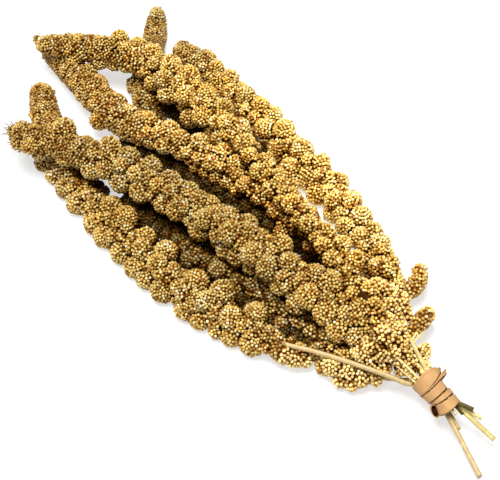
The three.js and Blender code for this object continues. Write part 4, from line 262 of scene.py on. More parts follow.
    "under_right": [(-150.0, 55.2, 9.1, 3.7), (-136.7, 45.2, 6.4, 4.4), (-115.3, 15.9, 5.7, 5.0), (-103.4, 11.4, 6.8, 5.2), (9.3, 4.4, 5.8, 3.2), (-87.6, 7.4, 7.5, 3.8), (-56.4, -0.3, 3.1, 3.9), (-97.3, 12.8, 6.4, 3.0), (-40.4, -0.2, 3.2, 3.9), (15.3, 3.1, 3.2, 4.0), (-134.8, 38.9, 8.7, 2.7), (-151.5, 51.8, 5.9, 1.7), (-134.7, 36.0, 2.7, 2.9), (67.0, 12.6, 8.2, 2.5), (-20.4, -0.4, 4.7, 2.8), (-127.0, 35.5, 2.1, 2.6), (-11.6, 1.7, 5.9, 4.0), (-5.9, 0.5, 2.9, 3.6), (-138.4, 38.1, 4.8, 2.3), (47.8, 10.8, 5.1, 3.3), (-65.1, 2.7, 2.8, 3.5), (-26.7, -3.7, 4.7, 4.2), (35.7, 2.5, 3.5, 3.1), (7.2, 0.7, 2.6, 3.3), (-109.4, 22.3, 5.6, 3.5), (-78.1, 7.4, 3.1, 3.9), (-144.7, 49.7, 1.9, 2.4), (63.0, 13.0, 5.2, 3.2), (-148.2, 56.8, 2.0, 2.1), (-0.3, -1.1, 5.9, 3.3), (-122.1, 27.3, 8.8, 3.1), (-73.8, 1.5, 4.6, 4.3), (-49.2, -0.8, 4.6, 3.7), (-92.8, 13.7, 3.3, 3.3), (-119.5, 30.8, 5.0, 3.4), (-144.8, 44.4, 2.9, 2.1), (-141.7, 51.9, 3.2, 2.7), (-34.3, -1.0, 4.7, 2.8), (22.7, 1.6, 6.4, 3.7), (56.5, 12.3, 3.6, 3.0), (-131.5, 42.2, 2.7, 2.8), (40.9, 8.1, 3.9, 3.2), (-151.0, 59.2, 3.5, 1.8), (-149.5, 50.3, 1.5, 1.9), (-114.4, 24.1, 8.5, 2.9), (-153.3, 57.7, 6.1, 1.7), (71.7, 11.2, 5.3, 2.1), (-128.9, 32.2, 8.4, 2.8), (-40.3, -3.5, 7.4, 3.2), (-145.3, 51.2, 7.7, 2.6), (-120.7, 25.7, 2.8, 3.5), (-151.7, 55.4, 1.6, 2.0), (-129.4, 29.4, 2.7, 2.5), (-148.3, 53.8, 1.5, 1.9), (-154.5, 54.3, 3.4, 2.0), (-145.8, 55.0, 5.4, 2.3), (-143.5, 45.5, 7.3, 2.4), (58.6, 8.2, 6.5, 2.6), (-140.6, 46.9, 1.8, 2.3), (-141.3, 41.8, 2.3, 2.1), (52.0, 6.0, 5.1, 2.7), (28.1, 3.9, 3.1, 3.9), (-147.1, 47.0, 5.6, 2.0), (-136.2, 42.4, 1.8, 2.3), (33.0, 6.0, 6.4, 3.1), (-63.7, -0.5, 7.1, 3.3), (-94.4, 6.8, 2.8, 3.5), (71.7, 14.1, 7.3, 1.9), (-121.1, 21.4, 7.0, 2.8), (-16.0, -3.7, 3.9, 3.4), (-129.7, 36.8, 9.5, 2.4), (-67.8, 4.3, 7.4, 3.3), (45.5, 5.1, 4.0, 2.9), (-86.2, 10.0, 2.6, 3.2), (-139.5, 50.0, 7.3, 2.0), (-124.5, 36.4, 6.7, 2.6), (-106.4, 17.3, 2.8, 3.5), (2.9, 4.1, 3.5, 3.3), (-138.0, 49.6, 3.1, 2.1), (-126.6, 26.5, 6.2, 2.9), (-81.0, 4.3, 7.8, 3.4), (-84.6, 4.3, 2.6, 3.2), (-114.0, 25.5, 2.8, 2.9), (5.0, 1.0, 8.0, 3.4), (-106.9, 16.7, 7.0, 2.9), (67.4, 10.6, 4.5, 2.4), (10.7, -1.1, 5.4, 2.7), (-57.3, 4.4, 5.3, 2.2), (-83.7, 10.2, 6.5, 2.3), (37.9, 5.9, 2.0, 2.4), (-19.2, -3.5, 7.1, 2.3), (41.2, 3.6, 5.8, 2.4), (-132.4, 33.0, 4.1, 2.2), (41.1, 4.1, 1.7, 2.2), (-78.1, 8.5, 8.1, 2.3), (-124.6, 30.8, 1.4, 1.7), (-9.9, -3.1, 2.4, 2.1), (-17.8, -1.3, 1.6, 2.0), (-44.1, -5.0, 4.5, 2.1), (-109.3, 12.7, 4.6, 2.1), (4.5, -2.3, 3.7, 2.0), (20.2, 1.0, 2.0, 2.5), (-17.2, 0.9, 7.4, 2.4), (-20.5, -4.0, 1.7, 2.2), (-142.9, 48.7, 8.5, 1.7), (-5.0, 3.4, 4.8, 2.0), (64.4, 9.7, 3.4, 1.8), (-36.5, -6.2, 4.6, 2.1), (27.9, 0.9, 6.6, 2.0), (25.4, 6.9, 4.4, 2.1), (-0.8, -0.3, 1.7, 2.2), (14.5, -1.0, 6.2, 2.1), (-123.0, 35.4, 2.8, 1.7), (22.1, 5.9, 3.4, 2.1), (-102.0, 16.4, 6.9, 1.8), (-71.4, 6.2, 2.2, 2.8), (-95.3, 8.3, 8.1, 2.8), (67.6, 13.9, 4.8, 1.7), (-54.2, 0.8, 6.4, 1.9), (-88.9, 10.9, 5.3, 2.2), (-128.5, 40.9, 6.2, 1.7), (52.1, 10.9, 7.0, 2.0), (-15.6, 1.9, 2.2, 2.7), (-97.1, 15.3, 2.8, 2.2), (-34.2, -4.5, 2.1, 2.1), (-2.0, 3.1, 6.4, 2.2), (63.0, 8.9, 6.4, 1.8), (-91.4, 4.7, 5.3, 2.6), (-121.8, 29.8, 1.5, 1.9), (33.7, 7.6, 2.1, 2.0), (-113.1, 21.3, 2.0, 2.5), (-118.6, 24.0, 9.7, 1.8), (-29.7, 1.4, 3.4, 2.5), (-52.7, 2.5, 1.7, 2.2), (-79.9, 2.6, 2.8, 2.3), (-119.6, 20.8, 2.5, 1.9), (-42.7, -0.3, 5.8, 2.0), (-111.2, 19.3, 10.0, 2.5), (-45.5, -1.6, 1.7, 2.1), (39.7, 7.5, 8.1, 2.3), (56.5, 12.3, 7.4, 1.8), (-4.6, 1.3, 8.1, 2.1), (-21.7, -0.8, 8.4, 2.1), (18.1, -0.8, 4.4, 2.5), (-76.0, 3.7, 1.7, 2.1), (-92.1, 10.3, 7.9, 2.0), (13.6, 2.4, 7.2, 2.6), (-99.2, 11.5, 2.3, 2.9), (-125.4, 31.8, 9.7, 1.7), (18.1, 4.0, 6.3, 2.4), (48.0, 6.1, 7.0, 1.8), (-140.7, 42.6, 7.7, 1.7), (-132.4, 41.7, 8.8, 1.7), (-131.0, 33.6, 1.4, 1.7), (-60.5, -1.1, 4.1, 2.0), (-6.9, -1.1, 7.3, 2.1), (-90.1, 7.6, 1.8, 2.2), (58.9, 14.1, 6.2, 2.0), (-31.4, -2.1, 6.5, 1.8), (-3.1, -3.0, 3.1, 2.2), (-44.8, 1.7, 3.3, 2.2), (60.3, 9.9, 3.3, 2.2), (-24.9, 1.4, 3.8, 2.8), (-116.6, 28.0, 7.0, 2.4), (-60.1, 2.1, 1.9, 2.3), (54.0, 9.0, 2.5, 2.0), (-76.0, 5.0, 8.6, 2.4), (33.2, 2.3, 8.0, 1.9), (-53.3, -4.3, 2.2, 2.2), (55.2, 8.7, 8.7, 1.8), (31.7, 1.0, 3.9, 2.2), (-130.0, 37.2, 1.5, 1.9), (-58.8, 2.3, 7.6, 2.1), (-118.1, 19.7, 8.7, 2.0), (-133.0, 34.5, 7.4, 1.7), (29.1, 4.1, 7.8, 2.1), (-35.9, -3.3, 8.6, 2.4), (-32.2, -1.4, 1.7, 2.1), (-144.9, 53.0, 1.4, 1.7), (-37.6, -4.3, 1.6, 2.0), (-136.3, 38.8, 1.4, 1.7), (50.9, 9.5, 2.1, 2.0), (-149.3, 49.4, 4.1, 1.7), (-122.0, 33.0, 7.9, 1.8), (-125.2, 26.4, 2.5, 2.1), (48.8, 7.2, 2.9, 2.0), (-24.9, -1.0, 1.8, 2.3), (44.1, 6.9, 1.5, 1.9), (-123.5, 23.8, 4.8, 2.2), (-67.8, -1.4, 5.2, 2.4), (-138.6, 40.5, 7.4, 1.8), (60.0, 11.7, 8.2, 1.8), (-133.0, 39.5, 1.4, 1.7), (44.3, 7.7, 6.5, 2.4), (69.3, 10.8, 7.2, 1.8), (-12.7, -1.6, 2.0, 2.4), (52.3, 11.2, 3.8, 1.8), (-27.7, -1.2, 1.4, 1.8), (62.6, 11.8, 8.2, 1.7), (37.6, 4.6, 7.1, 1.7), (-11.8, -2.8, 6.1, 2.0), (-101.8, 15.2, 2.2, 2.5), (-80.7, 9.3, 6.4, 2.2), (70.2, 13.6, 5.5, 1.7), (19.0, 5.4, 3.7, 1.9), (44.5, 9.9, 3.7, 1.7), (23.7, 5.4, 5.9, 1.9), (10.5, 1.8, 1.6, 2.0), (25.6, 0.3, 3.7, 2.0), (-98.9, 8.5, 6.9, 2.4), (-7.8, -3.0, 4.0, 1.9), (-72.3, 7.0, 5.6, 2.1), (-60.1, 4.1, 5.4, 2.0), (-69.2, 0.4, 2.9, 2.3), (-110.2, 19.5, 1.8, 2.2), (-42.3, -3.7, 2.1, 2.0), (-82.8, 8.2, 2.1, 2.4), (-14.6, -2.1, 6.9, 2.1), (-33.6, -5.1, 4.8, 2.0), (47.0, 8.8, 2.2, 1.8), (37.5, 7.6, 5.5, 2.2), (-111.0, 15.7, 2.5, 2.2), (5.5, 3.9, 5.9, 2.0), (24.4, 2.6, 1.7, 2.2), (-63.6, 4.4, 6.4, 2.0), (30.6, 7.0, 3.9, 1.9), (-128.3, 38.2, 6.8, 2.4), (-30.4, -5.0, 3.5, 1.9), (-72.2, 4.3, 7.8, 2.2), (-75.4, 7.8, 6.1, 2.0), (-99.7, 16.6, 4.6, 2.3), (6.6, 4.3, 3.5, 2.0), (-88.0, 5.0, 3.1, 2.1), (-51.5, -0.3, 1.6, 2.1), (54.9, 7.0, 5.0, 1.7)],
    "under_left": [(94.4, -17.4, 3.5, 3.9), (29.8, -19.7, 10.5, 4.5), (41.4, -17.1, 10.3, 4.5), (54.3, -24.1, 5.8, 4.4), (74.6, -20.1, 4.9, 4.4), (86.3, -14.2, 8.3, 4.3), (-2.2, -34.1, 6.9, 4.4), (82.8, -21.0, 3.9, 4.4), (98.9, -6.0, 8.0, 2.7), (13.5, -28.5, 10.4, 4.6), (-20.1, -32.7, 6.9, 2.3), (-46.5, -31.9, 3.0, 1.4), (22.7, -25.1, 8.6, 3.4), (-16.1, -34.3, 4.9, 2.7), (49.0, -18.7, 8.8, 3.1), (93.3, -10.8, 6.5, 3.8), (66.6, -16.3, 8.6, 3.6), (-30.4, -30.7, 4.7, 2.7), (-7.7, -31.7, 8.4, 3.6), (79.2, -11.4, 5.6, 3.4), (-40.8, -31.1, 3.8, 1.6), (60.4, -13.8, 9.0, 3.5), (-34.7, -30.2, 4.1, 2.1), (36.7, -22.1, 9.5, 2.8), (-50.4, -31.7, 2.2, 1.4), (-43.9, -31.7, 3.8, 1.5), (-24.5, -32.4, 5.6, 2.3), (58.2, -18.4, 9.0, 3.0), (4.9, -29.2, 8.5, 3.8), (73.2, -12.8, 8.8, 4.4), (16.0, -21.9, 9.1, 3.4), (26.8, -22.9, 4.6, 3.3), (-37.3, -32.4, 2.5, 1.9), (-1.1, -29.9, 9.7, 2.7), (-15.0, -31.7, 8.0, 2.6), (-33.3, -32.3, 5.4, 1.6), (98.6, -10.4, 4.5, 2.7), (-27.8, -32.6, 5.8, 1.9), (-37.9, -30.9, 4.4, 1.4), (-44.7, -32.3, 1.4, 1.7), (10.3, -25.9, 4.7, 3.3), (42.9, -23.3, 7.3, 3.4), (53.4, -19.1, 9.6, 2.7), (54.9, -15.6, 7.2, 2.9), (62.5, -18.7, 6.8, 2.8), (31.7, -20.4, 5.5, 2.3), (-24.9, -31.0, 2.7, 1.7), (9.1, -30.3, 5.1, 2.4), (76.1, -17.7, 9.4, 2.2), (79.7, -12.6, 10.4, 2.5), (11.4, -23.4, 9.0, 2.2), (-20.7, -30.2, 4.1, 1.7), (33.6, -23.9, 8.5, 2.3), (12.7, -31.2, 5.7, 2.3), (26.6, -27.6, 8.2, 2.3), (21.9, -30.0, 8.2, 2.2), (25.6, -23.7, 10.8, 1.9), (-20.9, -34.6, 4.3, 1.9), (-11.0, -35.2, 8.3, 2.0), (71.4, -15.6, 3.5, 2.2), (-12.4, -28.6, 7.2, 2.2), (17.2, -28.8, 6.2, 2.5), (42.1, -18.9, 4.9, 2.2), (18.2, -23.4, 5.6, 2.2), (-12.5, -30.8, 9.4, 1.7), (98.5, -10.0, 8.0, 1.7), (74.9, -13.4, 3.7, 2.2), (47.2, -23.1, 8.5, 2.3), (3.8, -32.6, 5.3, 2.3), (55.0, -15.9, 12.0, 2.3), (-16.9, -29.9, 5.2, 2.3), (79.3, -17.0, 6.9, 2.4), (28.4, -24.2, 10.6, 1.9), (88.3, -8.6, 7.0, 2.2), (70.6, -16.4, 10.3, 1.8), (50.1, -19.6, 4.1, 2.5), (-11.8, -33.1, 4.4, 2.1), (-4.6, -28.6, 7.2, 2.2), (35.3, -20.1, 6.1, 2.5), (-48.2, -31.2, 1.4, 1.7), (18.8, -26.0, 10.6, 2.1), (1.7, -33.3, 10.5, 2.3), (0.3, -27.9, 6.0, 2.5), (-5.0, -29.8, 10.4, 1.8), (-9.0, -31.5, 4.1, 2.0), (85.4, -12.5, 3.0, 2.2), (8.2, -26.9, 10.3, 2.0), (35.4, -18.8, 11.4, 2.3), (62.3, -17.4, 10.5, 2.1), (45.4, -21.1, 10.4, 1.9), (-18.3, -30.7, 8.0, 1.6), (-21.7, -30.4, 6.5, 1.5), (38.9, -22.7, 4.9, 2.3), (30.7, -24.7, 8.5, 2.1), (96.3, -13.7, 7.6, 1.8), (82.0, -15.1, 4.7, 2.5), (-35.6, -32.7, 4.4, 1.4), (84.5, -10.0, 5.3, 2.2), (-32.8, -32.8, 2.7, 1.7), (38.6, -17.9, 5.6, 2.2), (89.1, -12.1, 3.0, 2.5), (90.3, -15.2, 7.1, 1.7), (5.9, -25.3, 8.4, 2.0), (58.0, -16.5, 5.8, 2.2), (-26.7, -32.4, 3.5, 1.7), (44.9, -17.1, 7.2, 2.1), (14.4, -26.8, 5.2, 2.0), (79.7, -15.8, 9.8, 2.1), (89.7, -14.5, 4.7, 2.0), (63.8, -14.5, 6.3, 1.9), (46.1, -20.7, 5.6, 2.2), (20.2, -27.7, 6.0, 1.9), (-13.1, -34.6, 6.7, 1.8), (-14.3, -29.6, 5.7, 1.7), (77.9, -16.0, 4.5, 1.8), (85.2, -10.3, 8.6, 1.8), (24.6, -21.3, 7.7, 2.4), (82.4, -10.8, 8.2, 2.1), (52.1, -16.7, 11.3, 1.8), (51.4, -15.6, 8.2, 2.0), (90.6, -12.1, 9.3, 1.9), (69.1, -12.7, 7.1, 1.8), (96.8, -8.2, 5.9, 1.7), (23.2, -23.9, 5.2, 1.9), (60.8, -16.6, 5.3, 1.8), (68.1, -15.2, 5.3, 1.9), (36.8, -18.2, 8.5, 2.2), (-4.9, -31.1, 5.4, 1.8), (96.4, -12.6, 5.1, 1.7), (52.7, -17.9, 5.8, 2.3)],
}
STRANDS = {
    "top_long": [(0.98, [[120.3, 5.4, 16.6], [112.2, 6.9, 20.0], [103.9, 8.6, 23.0]])],
    "top_middle": [(0.58, [[119.9, 0.8, 15.8], [112.3, -0.3, 18.6], [104.8, -2.1, 21.5]])],
    "front": [(0.52, [[119.8, -0.6, 13.8], [113.9, -2.0, 16.0], [109.4, -3.5, 18.2]])],
    "outer_right": [(0.50, [[97.3, 23.8, 11.6], [100.2, 16.7, 12.6], [103.7, 9.6, 14.5]]), (0.42, [[100.0, 23.8, 10.6], [101.5, 17.7, 12.0], [103.5, 11.2, 13.5]]), (0.38, [[99.6, 18.9, 12.2], [102.2, 18.4, 11.6], [103.1, 20.8, 10.5]]), (0.50, [[119.0, 9.4, 13.5], [112.4, 12.4, 13.2], [106.5, 14.7, 13.0]])],
}
BARE_STRAW = [[62.0, -33.5, 10.5], [68.9, -29.8, 11.8], [75.8, -25.6, 12.8], [84.5, -20.7, 13.4], [92.8, -16.1, 13.6], [101.7, -10.9, 13.2], [109.9, -6.2, 12.4], [116.4, -2.6, 11.6]]
ENDS = {
    "outer_left": [[137.1, 1.1, 9.5], [167.0, -7.3, 5.0]],
    "under_left": [[137.8, 2.5, 9.0], [145.8, 0.8, 7.5]],
    "under_right": [[137.0, 6.3, 12.0], [158.6, 9.7, 6.5]],
    "outer_right": [[137.5, 6.6, 13.4], [149.4, 10.1, 11.5]],
    "top_long": [[137.6, 5.6, 15.4], [145.1, 8.8, 15.2]],
    "top_middle": [[137.3, 4.8, 13.0], [142.6, 5.6, 11.2]],
    "front": [[137.8, 1.7, 14.2], [141.6, 2.2, 13.6]],
}
LOOP_AT = [133.8, -2.7, 11.0]
BAND_TURNS = [
    [0.27, -0.73, -1.24, 7.01, 7.00, 2.12, 3.07, 1.10, 6.24, 6.96, 5.50],
    [1.48, 0.47, 0.07, 6.83, 8.53, 5.49, 6.56, 1.57, 6.21, 7.61, 6.50],
    [4.93, 6.68, 1.86, 6.35, 7.40, 5.62, 7.10, 4.22, 6.19, 5.96, 6.30],
    [5.98, 7.49, 4.70, 6.01, 5.83, 10.19, 11.81, 9.27, 5.17, 5.61, 6.30],
    [10.70, 12.26, 9.67, 4.94, 6.35, 12.20, 14.55, 12.46, 4.07, 6.43, 6.10],
    [12.54, 15.17, 13.18, 3.77, 6.50, 17.08, 20.26, 17.07, 4.89, 6.57, 6.40],
]


# ---------------------------------------------------------------- small helpers


def srgb(*c):
    c = np.asarray(c, float) / 255.0
    return np.where(c <= 0.04045, c / 12.92, ((c + 0.055) / 1.055) ** 2.4)


def unit(v):
    v = np.asarray(v, float)
    return v / np.maximum(np.linalg.norm(v, axis=-1, keepdims=True), 1e-12)


def smooth_path(points, step):
    """Catmull-Rom through the points, resampled at even arc length."""
    p = np.asarray(points, float)
    ext = np.vstack([2 * p[0] - p[1], p, 2 * p[-1] - p[-2]])
    t = np.linspace(0, 1, 20, endpoint=False)[:, None]
    rows = []
    for i in range(1, len(ext) - 2):
        a, b, c, d = ext[i - 1 : i + 3]
        rows.append(0.5 * (2 * b + (c - a) * t + (2 * a - 5 * b + 4 * c - d) * t**2 + (3 * b - a - 3 * c + d) * t**3))
    rows.append(p[-1:])
    q = np.vstack(rows)
    s = np.r_[0, np.cumsum(np.linalg.norm(np.diff(q[:, :3], axis=0), axis=1))]
    even = np.linspace(0, s[-1], max(3, int(round(s[-1] / step)) + 1))
    return np.column_stack([np.interp(even, s, q[:, k]) for k in range(q.shape[1])]), even


def carried_frames(c):
    """Tangent and two normals along a path, carried without twist."""
    t = unit(np.gradient(c, axis=0))
    n = np.zeros_like(t)
    up = np.array([0, 0, 1.0]) if abs(t[0, 2]) < 0.9 else np.array([1.0, 0, 0])
    n[0] = unit(up - t[0] * (up @ t[0]))
    for i in range(1, len(t)):
        n[i] = unit(n[i - 1] - t[i] * (n[i - 1] @ t[i]))
    return t, n, np.cross(t, n)


def across(n):
    """Two unit vectors square to each of n."""
    ref = np.where(np.abs(n[:, 2:3]) < 0.9, [[0, 0, 1.0]], [[1.0, 0, 0]])
    e1 = unit(np.cross(ref, n))
    return e1, np.cross(n, e1)


def mesh_piece(name, verts_mm, tris, colours, uvs=None, smooth=True):
    """A mesh object from arrays: corners in mm, triangles, a linear colour per corner, a UV per corner."""
    me = bpy.data.meshes.new(name)
    v = np.asarray(verts_mm, np.float32) * MM
    f = np.asarray(tris, np.int32)
    me.vertices.add(len(v))
    me.vertices.foreach_set("co", v.ravel())
    me.loops.add(f.size)
    me.loops.foreach_set("vertex_index", f.ravel())
    me.polygons.add(len(f))
    me.polygons.foreach_set("loop_start", np.arange(0, f.size, 3, dtype=np.int32))
    me.polygons.foreach_set("loop_total", np.full(len(f), 3, np.int32))
    me.update(calc_edges=True)
    me.polygons.foreach_set("use_smooth", np.full(len(f), smooth))
    col = me.color_attributes.new("Tint", "FLOAT_COLOR", "POINT")
    rgba = np.ones((len(v), 4), np.float32)
    rgba[:, :3] = colours
    col.data.foreach_set("color", rgba.ravel())
    if uvs is not None:
        layer = me.uv_layers.new(name="OFBake")
        layer.uv.foreach_set("vector", np.asarray(uvs, np.float32)[f.ravel()].ravel())
    me.validate()
    ob = bpy.data.objects.new(name, me)
    bpy.context.scene.collection.objects.link(ob)
    return ob


# ---------------------------------------------------------------- lobes

# how each head looks: share of its length from the tip that is smooth, tint, brightness at
# 0, 30, 60 and 100 % of its length from the tip (partly the head's own tone, partly painted light and shade), bristle
# count, and for heads at the bottom of the pile how much painted shade darkens them at 0, 30, 40, 60 and 100 %
STYLE = {
    "outer_right": dict(smooth=0.10, tint=(1.02, 1.0, 0.88), light=(0.84, 1.22, 1.36, 1.16), bristles=60),
    "top_long": dict(smooth=0.22, tint=(1.04, 0.98, 0.78), light=(0.86, 1.0, 1.0, 1.0), bristles=120),
    "top_middle": dict(smooth=0.34, tint=(1.04, 0.965, 0.84), light=(0.82, 0.94, 1.08, 1.0), bristles=110),
    "front": dict(smooth=0.18, tint=(1.04, 0.985, 0.88), light=(0.76, 0.70, 0.67, 0.86), bristles=540),
    "outer_left": dict(smooth=0.26, tint=(1.01, 0.96, 0.85), light=(0.88, 0.75, 0.81, 0.85), bristles=160),
    "under_right": dict(smooth=0.30, tint=(1.0, 0.98, 0.95), light=(0.80, 0.9, 0.9, 0.9), bristles=80, shade=(1, 0.85, 0.18, 0.11, 0.22)),
    "under_left": dict(smooth=0.05, tint=(1.0, 0.98, 0.98), light=(0.9, 0.9, 0.92, 0.94), bristles=60, shade=(0.12, 0.36, 0.50, 0.66, 1.0)),
}
GOLDEN = math.pi * (3 - math.sqrt(5))
# painted shade: the darkest share of the husk colour left on seeds deep in grooves and gaps
PAINTED_SHADE_MIN = np.array([[0.13, 0.058, 0.005]])  # what is left of the husk colour deep in a gap

lobes = []  # dicts: c centre, u axis, a along, b across, head, out (away from the head's axis), loose


def add_lobe(head, c, u, a, b, out, loose=0.0, t=0.5, shade=1.0):
    c = np.array(c, float)
    low = 0.55 * b + 0.45 * a * abs(u[2]) + 0.35 * b * (1 - abs(u[2]))
    c[2] = max(c[2], low)  # pressed up by the surface it lies on
    tone = rng.normal(0, 1, 3)
    lobes.append(dict(head=head, c=c, u=unit(u), a=a, b=b, out=unit(out), loose=loose, tone=tone, t=t, shade=shade))


axes = {}
for head, points in HEADS.items():
    path, s = smooth_path(points, 1.0)
    c, r, length = path[:, :3], path[:, 3], s[-1]
    t, n, b = carried_frames(c)
    axes[head] = (c, r, t)
    st = STYLE[head]
    at = lambda x, arr: np.array([np.interp(x, s, arr[:, k]) for k in range(arr.shape[1])])
    # the slim end of the head: short overlapping spindles on the axis, under small lobes
    end = st["smooth"] * length
    x = 1.2 * float(np.interp(6.0, s, r))
    while x < end + 4:
        rr = float(np.interp(x, s, r))
        add_lobe(head, at(x, c), at(x, t), 1.25 * rr, 0.86 * rr, at(x, n), t=x / length)
        x += 0.95 * rr
    # the round lobes, small near the tip and full further down
    for px, py, pz, pr in LOBES[head]:
        centre = np.array([px, py, pz])
        i = int(np.argmin(np.linalg.norm(c - centre, axis=1)))
        radial = centre - c[i]
        radial = unit(radial - t[i] * (radial @ t[i])) if np.linalg.norm(radial) > 0.5 else n[i]
        # painted shade on the lobes of the heads at the bottom of the pile
        shade = np.interp(s[i] / length, (0, 0.3, 0.4, 0.6, 1.0), st.get("shade", (1, 1, 1, 1, 1)))
        add_lobe(head, centre, unit(radial - 0.28 * t[i]), pr * (1.02 + 0.10 * rng.random()), pr, radial, t=s[i] / length, shade=shade)

for name, owner in (("SIDE_CURL", "outer_right"), ("SIDE_OVAL", "outer_right")):
    path, s = smooth_path(SIDE_CURL if name == "SIDE_CURL" else SIDE_OVAL, 0.5)
    t, n, b = carried_frames(path[:, :3])
    x = 1.5
    while x < s[-1] - 0.5:
        i = int(np.searchsorted(s, x))
        rr = path[i, 3] * 1.12
        add_lobe(owner, path[i, :3], -t[i], 1.2 * rr, rr, n[i], loose=0.25, t=0.9)
        x += 0.8 * rr
for owner, x, y, z, rr in LOOSE:
    add_lobe(owner, (x, y, z), unit((-0.5, rng.normal(0, 0.5), 0.7)), rr * 1.08, rr, (0, 0, 1.0), loose=1.0, t=1.0, shade=1.24)
# filler lobes low in the gaps between the heads, darkened with painted shade
for owner, x, y, z, rr in DEEP:
    add_lobe(owner, (x, y, z), unit((-0.4, rng.normal(0, 0.5), 0.8)), rr * 1.05, rr, (0, 0, 1.0), t=0.6, shade=0.45 if owner in ("outer_right", "top_long") else 0.15)

L = len(lobes)
LC = np.array([l["c"] for l in lobes])
LU = np.array([l["u"] for l in lobes])
LA = np.array([l["a"] for l in lobes])
LB = np.array([l["b"] for l in lobes])


def level(p, j):
    """Ellipsoid level of points p in lobes j: under 1 is inside. Shape points x lobes."""
    d = p[:, None, :] - LC[None, j, :]
    h = np.einsum("ijk,jk->ij", d, LU[j])
    return (h / LA[j]) ** 2 + (np.einsum("ijk,ijk->ij", d, d) - h**2) / LB[j] ** 2


near = [[j for j in range(L) if j != i and np.linalg.norm(LC[i] - LC[j]) < max(LA[i], LB[i]) + max(LA[j], LB[j]) + 1.0] for i in range(L)]

# ---------------------------------------------------------------- seeds

SEED = 1.74  # spacing of full-grown seeds, mm
CREASE = 0.45  # how far seeds stand up in the creases between lobes, mm
seeds = dict(p=[], n=[], d=[], head=[], lobe=[], loose=[], clear=[])
kept_on = [np.zeros((0, 3)) for _ in range(L)]
for i, l in enumerate(lobes):
    young = 1.0 - 0.13 * float(np.clip(1.0 - l["t"] / 0.3, 0, 1))  # smaller towards the tip
    gap = SEED * young * (1.0 + 0.10 * l["loose"]) * rng.uniform(0.96, 1.05)
    e = (l["a"] * l["b"] * l["b"]) ** (1 / 3)
    count = max(8, int(4 * math.pi * e * e / (0.83 * gap * gap)))
    k = np.arange(count) + 0.5
    zz = 1 - 2 * k / count
    ph = k * GOLDEN + rng.uniform(0, 6.28)
    rad = np.sqrt(1 - zz * zz)
    local = np.column_stack([rad * np.cos(ph), rad * np.sin(ph), zz])
    local = unit(local + rng.normal(0, 0.33 * gap / e, local.shape))
    for _ in range(4):  # push apart, so that the seeds pack without rows
        dv = local[:, None] - local[None]
        dist = np.linalg.norm(dv, axis=2) + np.eye(count) * 9
        push = np.clip(1.02 * gap / e - dist, 0, None) / dist
        local = unit(local + 0.45 * np.einsum("ij,ijk->ik", push, dv))
    e1, e2 = across(l["u"][None])
    d = local[:, :1] * e1 + local[:, 1:2] * e2
    p = l["c"] + l["b"] * d + l["a"] * local[:, 2:] * l["u"]
    nrm = unit(d / l["b"] + local[:, 2:] * l["u"] / l["a"])
    ok = p[:, 2] > 0.35
    clear = np.full(len(p), 9.0)
    if near[i]:
        j = np.array(near[i])
        lv = level(p, j)
        ok &= lv.min(1) > 0.93
        clear = ((np.sqrt(lv) - 0.965) * LB[j]).min(1)
    p, nrm, clear = p[ok], nrm[ok], clear[ok]
    if len(p) == 0:
        continue
    ok = np.ones(len(p), bool)
    for j in near[i]:
        if j < i and len(kept_on[j]):
            gap2 = np.linalg.norm(p[:, None] - kept_on[j][None], axis=2).min(1)
            ok &= gap2 > 0.74 * gap
    p, nrm, clear = p[ok], nrm[ok], clear[ok]
    kept_on[i] = p
    m = len(p)
    seeds["p"].append(p)
    seeds["n"].append(nrm)
    seeds["d"].append(np.full(m, gap) * rng.uniform(0.90, 1.12, m))
    seeds["head"].append(np.full(m, list(HEADS).index(l["head"])))
    seeds["lobe"].append(np.full(m, i))
    seeds["loose"].append(np.full(m, l["loose"]))
    seeds["clear"].append(clear)
P = np.vstack(seeds["p"])
N = np.vstack(seeds["n"])
DIA = np.concatenate(seeds["d"])
HEAD = np.concatenate(seeds["head"])
LOBE = np.concatenate(seeds["lobe"])
LOOSENESS = np.concatenate(seeds["loose"])
CLEAR = np.concatenate(seeds["clear"])
raised = rng.normal(0, 0.11, (len(P), 1)) + np.where(rng.random((len(P), 1)) < 0.05, rng.uniform(0.25, 0.7, (len(P), 1)), 0)
P = P + N * raised
near_axis = np.zeros_like(P)
for i, h in enumerate(HEADS):
    sel = np.flatnonzero(HEAD == i)
    ac = axes[h][0]
    for q in range(0, len(sel), 2000):
        part = sel[q : q + 2000]
        near_axis[part] = ac[np.argmin(((P[part][:, None] - ac[None]) ** 2).sum(2), axis=1)]
# in the creases the seeds stand higher, so that the lobes of a head grow together
P = P + unit(0.5 * N + unit(P - near_axis)) * (CREASE * np.exp(-np.clip(CLEAR, 0, 9) / 1.1))[:, None]
P[:, 2] = np.maximum(P[:, 2], 0.62)
N = unit(N + rng.normal(0, 0.15, N.shape))
M = len(P)

# each seed's husk colour: gold, ochre, cream or brown, shifted by its lobe and its head; along each head the shift is
# partly painted light and shade
PALETTE = np.array([srgb(235, 207, 126), srgb(220, 187, 102), srgb(200, 160, 78), srgb(166, 120, 48), srgb(245, 230, 182), srgb(208, 159, 80)])
WEIGHT = np.array([0.32, 0.27, 0.16, 0.09, 0.10, 0.06])
pick = rng.choice(len(PALETTE), M, p=WEIGHT)
husk = PALETTE[pick] * rng.uniform(0.86, 1.12, (M, 1))
tone = np.array([l["tone"] for l in lobes])[LOBE]
husk = husk * (1 + 0.07 * tone[:, :1]) * (1 + np.array([[0.015, -0.012, -0.10]]) * tone[:, 1:2])
heads = list(HEADS)
# each head's tint, and its lightness along its length, which is partly the head's own tone and partly painted light
# and shade
for i, h in enumerate(heads):
    sel = HEAD == i
    along = np.array([l["t"] for l in lobes])[LOBE[sel]]
    husk[sel] *= np.array(STYLE[h]["tint"]) * np.interp(along, (0, 0.3, 0.6, 1.0), STYLE[h]["light"])[:, None]
pale = srgb(232, 208, 146)
husk = husk * (1 - 0.45 * LOOSENESS[:, None]) + 0.45 * LOOSENESS[:, None] * pale * rng.uniform(0.7, 1.12, (M, 1))
